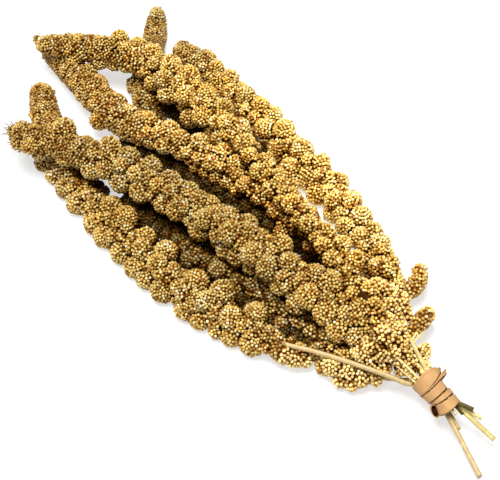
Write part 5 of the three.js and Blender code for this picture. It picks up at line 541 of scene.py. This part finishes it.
# how open each seed lies: rays over its outer side against the lobes
HOOD_SIDES, HOOD = 10, (0.0, 35.0, 70.0, 105.0, 140.0)
hv, hf = [], []
for i in range(L):
    e1, e2 = (x[0] for x in across(LU[i][None]))
    o = len(hv)
    for deg in HOOD:
        for k in range(HOOD_SIDES):
            an, th = 2 * math.pi * k / HOOD_SIDES, math.radians(deg)
            side = math.sin(th) * (math.cos(an) * e1 + math.sin(an) * e2)
            hv.append(tuple(LC[i] + (LB[i] - 0.1) * side + (LA[i] - 0.1) * math.cos(th) * LU[i]))
    for q in range(len(HOOD) - 1):
        for k in range(HOOD_SIDES):
            k2 = (k + 1) % HOOD_SIDES
            hf.append((o + q * HOOD_SIDES + k, o + q * HOOD_SIDES + k2, o + (q + 1) * HOOD_SIDES + k2, o + (q + 1) * HOOD_SIDES + k))
hood = BVHTree.FromPolygons(hv, hf)
RAYS = 18
k = np.arange(RAYS) + 0.5
ray_r, ray_a = np.sqrt(k / RAYS), k * GOLDEN
RAY = np.column_stack([ray_r * np.cos(ray_a), ray_r * np.sin(ray_a), np.sqrt(1 - k / RAYS)])


def openness(points, normals):
    e1, e2 = across(normals)
    out = np.zeros(len(points))
    dirs = RAY[None, :, :1] * e1[:, None] + RAY[None, :, 1:2] * e2[:, None] + RAY[None, :, 2:] * normals[:, None]
    start = (points + 0.75 * normals).tolist()
    dirs = dirs.tolist()
    cast = hood.ray_cast
    for q in range(len(start)):
        p0 = start[q]
        out[q] = sum(1 for dv in dirs[q] if cast(p0, dv, 45.0)[0] is None)
    return out / RAYS


OPEN = openness(P, N)
# each lobe's shade factor: painted shade on the lower heads and the filler lobes, a paler tone on the loose lobes
husk = husk * np.array([l["shade"] for l in lobes])[LOBE][:, None]
# painted shade: the seeds in the creases between lobes are darker and browner
husk = husk * (1 - np.array([[0.46, 0.58, 0.74]]) * (1 - np.clip(CLEAR / 1.5, 0, 1))[:, None])
# painted shade: seeds down in the grooves and between the heads are darker and browner, by how shut in they lie
husk = husk * (PAINTED_SHADE_MIN + (1 - PAINTED_SHADE_MIN) * np.clip((OPEN[:, None] - 0.13) / 0.54, 0, 1) ** np.array([[0.66, 0.90, 1.62]]))

SIDES = 6
ring = np.arange(SIDES) * 2 * math.pi / SIDES
# a plump husked seed: skirt, shoulder and crown
RINGS = [(-0.28, 0.39), (0.16, 0.435)]
CROWN = 0.44
tmpl_xy = np.array([[math.cos(a), math.sin(a)] for a in ring])
tri = []
for k in range(SIDES):
    k2 = (k + 1) % SIDES
    tri += [(k, k2, SIDES + k2), (k, SIDES + k2, SIDES + k), (SIDES + k, SIDES + k2, 2 * SIDES)]
TRI = np.array(tri)
VPS = 2 * SIDES + 1
# dark brown of the bed between the seeds, partly its own brown and partly painted shade
GAP_BROWN_AND_SHADE = srgb(118, 68, 13)


def seed_arrays(sel):
    """Corners, triangles and colours of the chosen seeds."""
    p, n, d = P[sel], N[sel], DIA[sel]
    e1, e2 = across(n)
    spin = rng.uniform(0, 6.28, len(p))[:, None]
    f1 = np.cos(spin) * e1 + np.sin(spin) * e2
    f2 = -np.sin(spin) * e1 + np.cos(spin) * e2
    v = np.zeros((len(p), VPS, 3))
    c = np.zeros((len(p), VPS, 3))
    oval = 1 + rng.uniform(-1, 1, (len(p), 1, 1)) * (0.07 + 0.20 * LOOSENESS[sel])[:, None, None]
    for k, (h, r) in enumerate(RINGS):
        x = tmpl_xy[None, :, :1] * r * d[:, None, None] * oval
        y = tmpl_xy[None, :, 1:] * r * d[:, None, None] / oval
        v[:, k * SIDES : (k + 1) * SIDES] = p[:, None] + x * f1[:, None] + y * f2[:, None] + (h * d)[:, None, None] * n[:, None]
    v[:, -1] = p + (CROWN * d)[:, None] * n
    # painted shade and highlight: each seed darker and browner at its skirt and paler at its crown
    base = husk[sel]
    c[:, :SIDES] = (base * np.array([[0.66, 0.45, 0.15]]))[:, None]
    c[:, SIDES : 2 * SIDES] = (base * np.array([[0.98, 0.92, 0.70]]))[:, None]
    c[:, -1] = base * np.array([[0.94, 1.11, 1.62]]) + 0.06 * (base[:, :1] / 0.6) * np.array([[1.0, 0.98, 0.95]])
    f = TRI[None] + (np.arange(len(p)) * VPS)[:, None, None]
    return v.reshape(-1, 3), f.reshape(-1, 3), c.reshape(-1, 3)


def cells(count, first, side):
    k = np.arange(first, first + count)
    return np.column_stack([(k % side + 0.5) / side, (k // side + 0.5) / side])


DOME_SIDES = 10
DOME = [(0.0, 0.0), (40.0, 0.16), (78.0, 0.31), (118.0, 0.44)]  # polar angle and its place in the flat pattern


def dome_arrays(ids):
    """The bed under the seeds of each lobe, dark brown partly as painted shade."""
    v, f, c, uv, outward = [], [], [], [], []
    a = np.arange(DOME_SIDES) * 2 * math.pi / DOME_SIDES
    for k, i in enumerate(ids):
        e1, e2 = (x[0] for x in across(LU[i][None]))
        base = k * (1 + 3 * DOME_SIDES)
        pts, flat = [LC[i] + (LA[i] - 0.55) * LU[i]], [(0.0, 0.0)]
        for deg, r in DOME[1:]:
            th = math.radians(deg)
            for x in a:
                pts.append(LC[i] + (LB[i] - 0.55) * math.sin(th) * (math.cos(x) * e1 + math.sin(x) * e2) + (LA[i] - 0.55) * math.cos(th) * LU[i])
                flat.append((r * math.cos(x), r * math.sin(x)))
        pts = np.array(pts)
        pts[:, 2] = np.maximum(pts[:, 2], 0.25)
        v.append(pts)
        uv.append(np.array(flat))
        c.append(np.tile(GAP_BROWN_AND_SHADE * rng.uniform(0.75, 1.25), (len(pts), 1)))
        outward.append(unit(pts - LC[i] - 0.2 * LU[i]))
        for x in range(DOME_SIDES):
            y = (x + 1) % DOME_SIDES
            f.append((base, base + 1 + x, base + 1 + y))
            for q in (0, 1):
                o, o2 = base + 1 + q * DOME_SIDES, base + 1 + (q + 1) * DOME_SIDES
                f.append((o + x, o2 + x, o2 + y))
                f.append((o + x, o2 + y, o + y))
    v, c = np.vstack(v), np.vstack(c)
    o = openness(v, np.vstack(outward))[:, None]
    # painted shade: the bed is darker where it lies shut in
    c = c * (0.06 + 0.94 * np.clip((o - 0.13) / 0.54, 0, 1))
    return v, np.array(f), c, np.vstack(uv)


CORE_SIDES = 10


def core_arrays(head):
    """The brown stalk that the lobes of a head grow from, darkened with painted shade."""
    c, r, t = axes[head]
    pick = np.unique(np.r_[np.arange(4, len(c) - 4, 4), len(c) - 4])
    cc, rr = c[pick], 0.5 * r[pick]
    tt, n, b = carried_frames(cc)
    a = np.arange(CORE_SIDES) * 2 * math.pi / CORE_SIDES
    v = cc[:, None] + rr[:, None, None] * (np.cos(a)[None, :, None] * n[:, None] + np.sin(a)[None, :, None] * b[:, None])
    v = v.reshape(-1, 3)
    v[:, 2] = np.maximum(v[:, 2], 0.3)
    k = len(pick)
    f = []
    for i in range(k - 1):
        for x in range(CORE_SIDES):
            y = (x + 1) % CORE_SIDES
            p, q = i * CORE_SIDES, (i + 1) * CORE_SIDES
            f += [(p + x, p + y, q + y), (p + x, q + y, q + x)]
    for i, flip in ((0, True), (k - 1, False)):
        for x in range(1, CORE_SIDES - 1):
            tri3 = (i * CORE_SIDES, i * CORE_SIDES + x, i * CORE_SIDES + x + 1)
            f.append(tri3[::-1] if flip else tri3)
    uv = np.column_stack([np.tile(np.arange(CORE_SIDES) / CORE_SIDES - 0.45, k), np.repeat(np.linspace(-0.45, 0.45, k), CORE_SIDES)])
    # painted shade: the stalk is coloured far darker than the bed's brown
    return v, np.array(f), np.tile(0.22 * GAP_BROWN_AND_SHADE, (len(v), 1)), uv


def bristle_arrays(sel, count, head):
    """Fine dry bristles between the seeds, thicker on the ground at the tip."""
    if count == 0 or len(sel) == 0:
        return np.zeros((0, 3)), np.zeros((0, 3), int), np.zeros((0, 3))
    tt = np.array([lobes[k]["t"] for k in LOBE[sel]])
    w = 0.15 + np.exp(-tt / 0.05) * 3.0
    ids = rng.choice(sel, count, replace=False, p=w / w.sum())
    c, r, t = axes[head]
    v, f, col = [], [], []
    for k, i in enumerate(ids):
        n = N[i]
        forward = -t[np.argmin(np.linalg.norm(c - P[i], axis=1))]
        d = unit(0.8 * n + 0.55 * forward + rng.normal(0, 0.35, 3))
        length = rng.uniform(1.6, 3.6) * (1 + 1.2 * math.exp(-lobes[LOBE[i]]["t"] / 0.04))
        e1, e2 = (x[0] for x in across(d[None]))
        root = P[i] + 0.2 * n
        w0 = rng.uniform(0.05, 0.08) * (1 + 1.5 * math.exp(-lobes[LOBE[i]]["t"] / 0.04))
        for x in range(3):
            an = x * 2.0944
            v.append(root + w0 * (math.cos(an) * e1 + math.sin(an) * e2))
        bend = rng.normal(0, 0.25, 3)
        v.append(root + d * length + bend)
        v[-1][2] = max(v[-1][2], 0.2)
        o = 4 * k
        f += [(o, o + 1, o + 3), (o + 1, o + 2, o + 3), (o + 2, o, o + 3)]
        col += [srgb(104, 80, 40) * rng.uniform(0.6, 1.5)] * 4
    return np.array(v), np.array(f), np.array(col)


# ---------------------------------------------------------------- materials


def nodes_of(mat):
    mat.use_nodes = True
    nt = mat.node_tree
    nt.nodes.clear()
    out = nt.nodes.new("ShaderNodeOutputMaterial")
    bsdf = nt.nodes.new("ShaderNodeBsdfPrincipled")
    nt.links.new(bsdf.outputs[0], out.inputs[0])
    return nt, bsdf


def tinted(name, rough, spec, grain_scale, grain, bump_scale, bump, stretch=None):
    """A dry surface whose colour is the corner tint broken up by fine grain."""
    mat = bpy.data.materials.new(name)
    nt, bsdf = nodes_of(mat)
    tint = nt.nodes.new("ShaderNodeVertexColor")
    tint.layer_name = "Tint"
    co = nt.nodes.new("ShaderNodeTexCoord")
    noise = nt.nodes.new("ShaderNodeTexNoise")
    noise.inputs["Scale"].default_value = grain_scale
    noise.inputs["Detail"].default_value = 3.0
    nt.links.new(co.outputs["Object"], noise.inputs["Vector"])
    ramp = nt.nodes.new("ShaderNodeMapRange")
    ramp.inputs["From Min"].default_value = 0.3
    ramp.inputs["From Max"].default_value = 0.7
    ramp.inputs["To Min"].default_value = 1.0 - grain
    ramp.inputs["To Max"].default_value = 1.0 + grain
    nt.links.new(noise.outputs["Fac"], ramp.inputs["Value"])
    mul = nt.nodes.new("ShaderNodeMix")
    mul.data_type = "RGBA"
    mul.blend_type = "MULTIPLY"
    mul.inputs["Factor"].default_value = 1.0
    nt.links.new(tint.outputs["Color"], mul.inputs[6])
    nt.links.new(ramp.outputs["Result"], mul.inputs[7])
    nt.links.new(mul.outputs[2], bsdf.inputs["Base Color"])
    fine = nt.nodes.new("ShaderNodeTexNoise")
    fine.inputs["Scale"].default_value = bump_scale
    fine.inputs["Detail"].default_value = 2.0
    nt.links.new(co.outputs["Object"], fine.inputs["Vector"])
    bmp = nt.nodes.new("ShaderNodeBump")
    bmp.inputs["Strength"].default_value = bump
    bmp.inputs["Distance"].default_value = 0.0002
    nt.links.new(fine.outputs["Fac"], bmp.inputs["Height"])
    nt.links.new(bmp.outputs["Normal"], bsdf.inputs["Normal"])
    rr = nt.nodes.new("ShaderNodeMapRange")
    rr.inputs["To Min"].default_value = rough - 0.08
    rr.inputs["To Max"].default_value = rough + 0.08
    nt.links.new(noise.outputs["Fac"], rr.inputs["Value"])
    nt.links.new(rr.outputs["Result"], bsdf.inputs["Roughness"])
    grey = nt.nodes.new("ShaderNodeRGBToBW")
    nt.links.new(tint.outputs["Color"], grey.inputs["Color"])
    gloss = nt.nodes.new("ShaderNodeMapRange")
    gloss.inputs["From Min"].default_value = 0.04
    gloss.inputs["From Max"].default_value = 0.36
    gloss.inputs["To Min"].default_value = 0.03
    gloss.inputs["To Max"].default_value = spec
    nt.links.new(grey.outputs["Val"], gloss.inputs["Value"])
    nt.links.new(gloss.outputs["Result"], bsdf.inputs["Specular IOR Level"])
    return mat


husk_mat = tinted("millet_husk", 0.43, 0.36, 900.0, 0.16, 2600.0, 0.25)
straw_mat = tinted("dry_straw", 0.48, 0.45, 700.0, 0.10, 1800.0, 0.2)
band_mat = tinted("tan_rubber", 0.62, 0.35, 260.0, 0.06, 1500.0, 0.12)

# ---------------------------------------------------------------- seed heads

pieces = []
for i, head in enumerate(heads):
    sel = np.flatnonzero(HEAD == i)
    v1, f1, c1 = seed_arrays(sel)
    ids = [k for k, l in enumerate(lobes) if l["head"] == head]
    v2, f2, c2, flat = dome_arrays(ids)
    v3, f3, c3 = bristle_arrays(sel, STYLE[head]["bristles"], head)
    v4, f4, c4, flat4 = core_arrays(head)
    nb = len(v3) // 4
    side = int(math.ceil(math.sqrt(len(sel) + len(ids) + nb + 1)))
    cell = cells(len(sel) + len(ids) + nb + 1, 0, side)
    disc = np.vstack([tmpl_xy * 0.45, tmpl_xy * 0.30, [[0, 0]]])
    uv1 = (cell[: len(sel), None] + disc[None] / side).reshape(-1, 2)
    per = 1 + 3 * DOME_SIDES
    uv2 = np.repeat(cell[len(sel) : len(sel) + len(ids)], per, axis=0) + flat / side
    tri_cell = np.array([[-0.4, -0.4], [0.4, -0.4], [0.0, 0.4], [0.0, -0.1]])
    uv3 = (cell[len(sel) + len(ids) : -1, None] + tri_cell[None] / side).reshape(-1, 2)
    uv4 = cell[-1:] + 0.9 * flat4 / side
    v = np.vstack([v1, v2, v3, v4])
    f = np.vstack([f1, f2 + len(v1), f3 + len(v1) + len(v2), f4 + len(v1) + len(v2) + len(v3)])
    ob = mesh_piece("millet_head_" + head, v, f, np.vstack([c1, c2, c3, c4]), np.vstack([uv1, uv2, uv3, uv4]))
    ob.data.materials.append(husk_mat)
    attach(ob, "root")
    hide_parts("seed_head_" + head)
    pieces.append(ob)

# ---------------------------------------------------------------- stems

STEM_TONE = {
    "outer_right": srgb(228, 206, 134),
    "top_long": srgb(92, 82, 42),
    "top_middle": srgb(88, 74, 38),
    "front": srgb(214, 200, 146),
    "outer_left": srgb(194, 166, 114),
    "under_right": srgb(214, 194, 126),
    "under_left": srgb(186, 156, 90),
}
STEM_R = {"outer_left": 1.10, "under_right": 1.15, "top_long": 0.84, "outer_right": 0.92, "top_middle": 0.80, "front": 0.86, "under_left": 0.92}
PALE_STRAW = srgb(224, 200, 136)
SS = 14


def straw(points, radius, tone, dark_from=None, point=0.0):
    """A dry straw along a path: ribbed wall, streaks, hollow cut ends. dark_from darkens its last part."""
    path, s = smooth_path(points, 1.3)
    c = path[:, :3]
    t, n, b = carried_frames(c)
    k = len(c)
    rib, rib2 = rng.normal(0, 1, SS), rng.normal(0, 1, SS)
    a = np.arange(SS) * 2 * math.pi / SS
    rad = radius * (1 + 0.07 * np.cos(2 * a + rng.uniform(0, 6)) + 0.05 * rib)
    wave = (1 + 0.04 * np.sin(s / 7.0 + rng.uniform(0, 6)))[:, None]
    if point:
        wave = wave * np.clip(0.35 + (s[-1] - s) / point, 0.35, 1)[:, None]
    v = c[:, None] + (rad * wave)[:, :, None] * (np.cos(a)[None, :, None] * n[:, None] + np.sin(a)[None, :, None] * b[:, None])
    colour = np.tile(PALE_STRAW if dark_from is not None else tone, (k, SS, 1))
    if dark_from is not None:
        w = np.clip((s - (s[-1] - dark_from)) / 2.5, 0, 1)[:, None, None]
        colour = colour * (1 - w) + tone * w
    streak = 1 + 0.16 * rib2[None, :, None] + 0.06 * rng.normal(0, 1, (k, 1, 1)) + 0.07 * rng.normal(0, 1, (k, SS, 1))
    # painted shade: the lower side of each straw is darker
    low = 1 - 0.20 * np.clip(-(np.cos(a)[None, :] * n[:, 2:3] + np.sin(a)[None, :] * b[:, 2:3]), 0, 1)[:, :, None]
    colour = np.clip(colour * np.clip(streak, 0.5, 1.3) * low, 0.005, 0.95)
    v, colour = v.reshape(-1, 3), colour.reshape(-1, 3)
    uv = np.column_stack([np.tile(np.arange(SS) / (SS + 1.0) * 0.8 + 0.05, k), np.repeat(np.linspace(0.03, 0.97, k), SS)])
    f = []
    for i in range(k - 1):
        for j in range(SS):
            j2 = (j + 1) % SS
            f += [(i * SS + j, i * SS + j2, (i + 1) * SS + j2), (i * SS + j, (i + 1) * SS + j2, (i + 1) * SS + j)]
    # hollow cut end: a pale wall, then a dark centre that is partly pith and partly painted shade in the hollow
    extra_v, extra_c, extra_uv = [], [], []
    for i, inward in ((0, 1.0), (k - 1, -1.0)):
        o = len(v) + len(extra_v)
        rim = rad * wave[i]
        for q, (share, depth) in enumerate(((0.62, 0.0), (0.5, 0.7))):
            for j in range(SS):
                p = c[i] + rim[j] * share * (math.cos(a[j]) * n[i] + math.sin(a[j]) * b[i]) + inward * depth * t[i]
                extra_v.append(p)
                extra_c.append(tone * (0.95 if q == 0 else 0.18))
                extra_uv.append((0.90 + 0.04 * (1 - 0.4 * q) * math.cos(a[j]), (0.25 if i == 0 else 0.75) + 0.04 * (1 - 0.4 * q) * math.sin(a[j])))
        extra_v.append(c[i] + inward * 0.7 * t[i])
        extra_c.append(tone * 0.15)
        extra_uv.append((0.90, 0.25 if i == 0 else 0.75))
        for j in range(SS):
            j2 = (j + 1) % SS
            quads = [((i * SS + j), (i * SS + j2), o + j2, o + j), (o + j, o + j2, o + SS + j2, o + SS + j)]
            for qd in quads:
                f += [(qd[0], qd[1], qd[2]), (qd[0], qd[2], qd[3])] if i else [(qd[2], qd[1], qd[0]), (qd[3], qd[2], qd[0])]
            last = (o + SS + j, o + SS + j2, o + 2 * SS)
            f.append(last if i else last[::-1])
    return np.vstack([v, extra_v]), np.array(f), np.vstack([colour, extra_c]), np.vstack([uv, extra_uv])


for head, points in STEMS.items():
    points = [list(p) for p in points]
    points = points[:-3] + ENDS[head]  # a straight end past the band
    if head == "outer_left":
        points = BARE_STRAW + points[4:]
    parts = [straw(points, STEM_R[head], STEM_TONE[head], 9.0 if head in ("top_long", "top_middle") else None)]
    for strand in STRANDS.get(head, []):
        parts.append(straw(strand[1], strand[0], PALE_STRAW * rng.uniform(0.90, 1.06), None, 6.0))
    v, f, colour, uv = [], [], [], []
    count = 0
    for q, (pv, pf, pc, pu) in enumerate(parts):
        v.append(pv)
        f.append(pf + count)
        colour.append(pc)
        uv.append(pu * [1.0 / len(parts), 1.0] + [q / len(parts), 0])
        count += len(pv)
    ob = mesh_piece("straw_" + head, np.vstack(v), np.vstack(f), np.vstack(colour), np.vstack(uv))
    ob.data.materials.append(straw_mat)
    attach(ob, "root")
    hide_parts("stem_" + head)

# ---------------------------------------------------------------- rubber band

a0, a1 = np.array(BAND_START), np.array(BAND_END)
ax = unit(a1 - a0)
side_v = unit(np.cross([0, 0, 1.0], ax))
up_v = np.cross(ax, side_v)
# BAND_TURNS, one turn a row: upper edge (place along the axis on the near side, on top, on the far
# side; radius near, far), lower edge the same, radius on top
BAND_T = 0.95
BAND_TAN = srgb(186, 142, 92)
ROLL = math.radians(22)  # turns the cross-section frame towards the light
e_hi = math.cos(ROLL) * side_v + math.sin(ROLL) * up_v
e_up = -math.sin(ROLL) * side_v + math.cos(ROLL) * up_v
NUB = dict(turn=2, angle=0.10, height=3.1, spread=0.42)  # where the band's end is tucked under and stands off
bv, bf, bc, buv = [], [], [], []
SEG = 112
sec = [(-1, -0.35), (-1, 0.2), (-0.95, 0.42), (-0.82, 0.5), (-0.4, 0.54), (0.0, 0.55), (0.4, 0.54), (0.82, 0.5), (0.95, 0.42), (1, 0.2), (1, -0.35), (0.85, -0.5), (0.0, -0.5), (-0.85, -0.5)]
K = len(sec)
for q, row in enumerate(BAND_TURNS):
    un, ut, uf, urn, urf, dn, dt, df, drn, drf, top = row
    o = len(bv)
    ph = rng.uniform(0, 6.28)
    for i in range(SEG):
        an = 2 * math.pi * i / SEG
        ca, sa = math.cos(an), math.sin(an)
        hi = 0.5 + 0.5 * ca
        over = max(sa, 0.0) ** 1.25  # how far on top
        edge_u = un * (1 - hi) + uf * hi + over * (ut - 0.5 * (un + uf))
        edge_d = dn * (1 - hi) + df * hi + over * (dt - 0.5 * (dn + df))
        d = ca * e_hi + sa * e_up
        stand = 0.0
        if q == NUB["turn"]:
            off = (an - NUB["angle"] + math.pi) % (2 * math.pi) - math.pi
            stand = NUB["height"] * math.exp(-((off / NUB["spread"]) ** 2))
        wob = 0.07 * math.sin(3 * an + ph) + 0.05 * math.sin(7 * an + 2 * ph)
        crease = 0.05 * math.sin(9 * an + ph) + 0.04 * math.sin(17 * an + 3 * ph)
        for j, (w, h) in enumerate(sec):
            m = 0.5 * (edge_u + edge_d) + 0.5 * w * (edge_d - edge_u)
            k2 = 0.5 + 0.5 * w
            far, near = urf * (1 - k2) + drf * k2, urn * (1 - k2) + drn * k2
            rx = (far if ca > 0 else near) - 0.6
            ry = (top if sa > 0 else 5.9) - 0.6
            lip = 0.16 * (abs(w) > 0.7)  # edges curl slightly
            core = ca * rx * e_hi + sa * ry * e_up
            bv.append(a0 + ax * m + core + d * (wob + stand + h * BAND_T + (lip + crease * (1 - abs(w))) * (h > 0)))
            # painted shade: the inner side of the band is darker and its edges a little darker
            shade = 1.0
            if h < 0.3:
                shade = 0.42 if h < 0 else 0.70
            elif abs(w) > 0.9:
                shade = 0.86
            bc.append(BAND_TAN * shade * (1 + 0.03 * rng.normal() + 0.05 * math.sin(5 * an + ph + w)))
            buv.append((0.02 + 0.96 * i / SEG, 0.9 * (q + 0.05 + 0.9 * j / K) / len(BAND_TURNS)))
    for i in range(SEG):
        i2 = (i + 1) % SEG
        for j in range(K):
            j2 = (j + 1) % K
            p, p2, p3, p4 = o + i * K + j, o + i2 * K + j, o + i2 * K + j2, o + i * K + j2
            bf += [(p, p2, p3), (p, p3, p4)]
# the last turn stands off in a small open loop on the near side
LOOP_N = 32
facing = unit(np.array([0.478, -0.387, 0.788]))
long_v = unit(np.array([0.80, -0.15, -0.56]) - facing * (facing @ np.array([0.80, -0.15, -0.56])))
wide_v = np.cross(facing, long_v)
o = len(bv)
for i in range(LOOP_N):
    an = 2 * math.pi * i / LOOP_N
    ring_d = 2.95 * math.cos(an) * long_v + 1.55 * math.sin(an) * wide_v
    # painted shade: the inside of the loop goes darker and redder with depth
    for share, depth, dark in ((1.06, 0.0, 0.92), (0.97, 0.2, 0.80), (0.88, 0.0, 0.45), (0.85, -1.4, 0.20), (0.80, -2.4, 0.12), (1.0, -2.8, 0.6), (1.08, -1.2, 0.9)):
        bv.append(np.array(LOOP_AT) + ring_d * share + facing * depth)
        bc.append(BAND_TAN * dark * np.array([1.3, 0.85, 0.6] if dark < 0.5 else [1.0, 1.0, 1.0]))
        buv.append((0.05 + 0.9 * i / LOOP_N, 0.92 + 0.07 * (0.1 + share * 0.1 - depth * 0.2)))
for i in range(LOOP_N):
    i2 = (i + 1) % LOOP_N
    for j in range(7):
        j2 = (j + 1) % 7
        p, p2, p3, p4 = o + i * 7 + j, o + i2 * 7 + j, o + i2 * 7 + j2, o + i * 7 + j2
        bf += [(p, p3, p2), (p, p4, p3)]
# painted shade: the loop's deep centre is nearly black
bv.append(np.array(LOOP_AT) - 1.9 * facing)
bc.append(BAND_TAN * 0.07)
for i in range(LOOP_N):
    bf.append((o + i * 7 + 4, o + ((i + 1) % LOOP_N) * 7 + 4, len(bv) - 1))
ob = mesh_piece("wound_rubber_band", np.array(bv), np.array(bf), np.array(bc))
ob.data.materials.append(band_mat)
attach(ob, "root")
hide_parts("rubber_band")

# ---------------------------------------------------------------- stage

floor_me = bpy.data.meshes.new("floor")
floor_me.from_pydata([(-3, -3, 0), (3, -3, 0), (3, 3, 0), (-3, 3, 0)], [], [(0, 1, 2, 3)])
floor = bpy.data.objects.new("floor", floor_me)
bpy.context.scene.collection.objects.link(floor)
fmat = bpy.data.materials.new("white_floor")
nt, bsdf = nodes_of(fmat)
bsdf.inputs["Base Color"].default_value = (0.40, 0.40, 0.40, 1)
bsdf.inputs["Emission Color"].default_value = (1, 1, 1, 1)
bsdf.inputs["Emission Strength"].default_value = 0.62
bsdf.inputs["Roughness"].default_value = 0.85
bsdf.inputs["Specular IOR Level"].default_value = 0.1
floor_me.materials.append(fmat)

EL, AZ, DIST = math.radians(52), math.radians(51), 0.600
target = np.array([11.45, -7.763, 15.0]) * MM
back = np.array([math.sin(AZ) * math.cos(EL), -math.cos(AZ) * math.cos(EL), math.sin(EL)])
right = np.array([math.cos(AZ), math.sin(AZ), 0])
upv = np.cross(back, right)
cam = bpy.data.cameras.new("camera")
cam.lens = 90
cam.sensor_width = 36
cam.sensor_fit = "HORIZONTAL"
cam.clip_end = 20
cam_ob = bpy.data.objects.new("camera", cam)
bpy.context.scene.collection.objects.link(cam_ob)
from mathutils import Matrix  # noqa: E402

pos = target + back * DIST
cam_ob.matrix_world = Matrix([[right[k], upv[k], back[k], pos[k]] for k in range(3)] + [[0, 0, 0, 1]])
bpy.context.scene.camera = cam_ob


def area(name, direction, dist, size, power, colour):
    d = unit(direction)
    li = bpy.data.lights.new(name, "AREA")
    li.shape = "DISK"
    li.size = size
    li.energy = power
    li.color = colour
    o = bpy.data.objects.new(name, li)
    z = d
    x = unit(np.cross([0.3, 1, 0], z))
    y = np.cross(z, x)
    p = target + d * dist
    o.matrix_world = Matrix([[x[k], y[k], z[k], p[k]] for k in range(3)] + [[0, 0, 0, 1]])
    bpy.context.scene.collection.objects.link(o)


away = -unit(np.array([back[0], back[1], 0]))
area("key", -0.14 * right - 0.02 * away + np.array([0, 0, 1.0]), 1.3, 0.80, 25.4, (0.985, 0.995, 0.975))
area("sparkle", -0.06 * right + 0.04 * away + np.array([0, 0, 1.0]), 1.3, 0.18, 2.4, (1.0, 0.98, 0.95))
world = bpy.data.worlds.new("world")
bpy.context.scene.world = world
world.use_nodes = True
world.node_tree.nodes["Background"].inputs[0].default_value = (1, 1, 1, 1)
world.node_tree.nodes["Background"].inputs[1].default_value = 0.31

scene = bpy.context.scene
scene.view_settings.view_transform = "Standard"
scene.view_settings.look = "None"

tri_count = sum(len(o.data.polygons) for o in bpy.context.scene.objects if o.type == "MESH" and not o.hide_render)
print("open", np.percentile(OPEN, [5, 25, 50, 75, 95]), "lobes", L, "seeds", M, "triangles", tri_count, {o.name: len(o.data.polygons) for o in pieces})
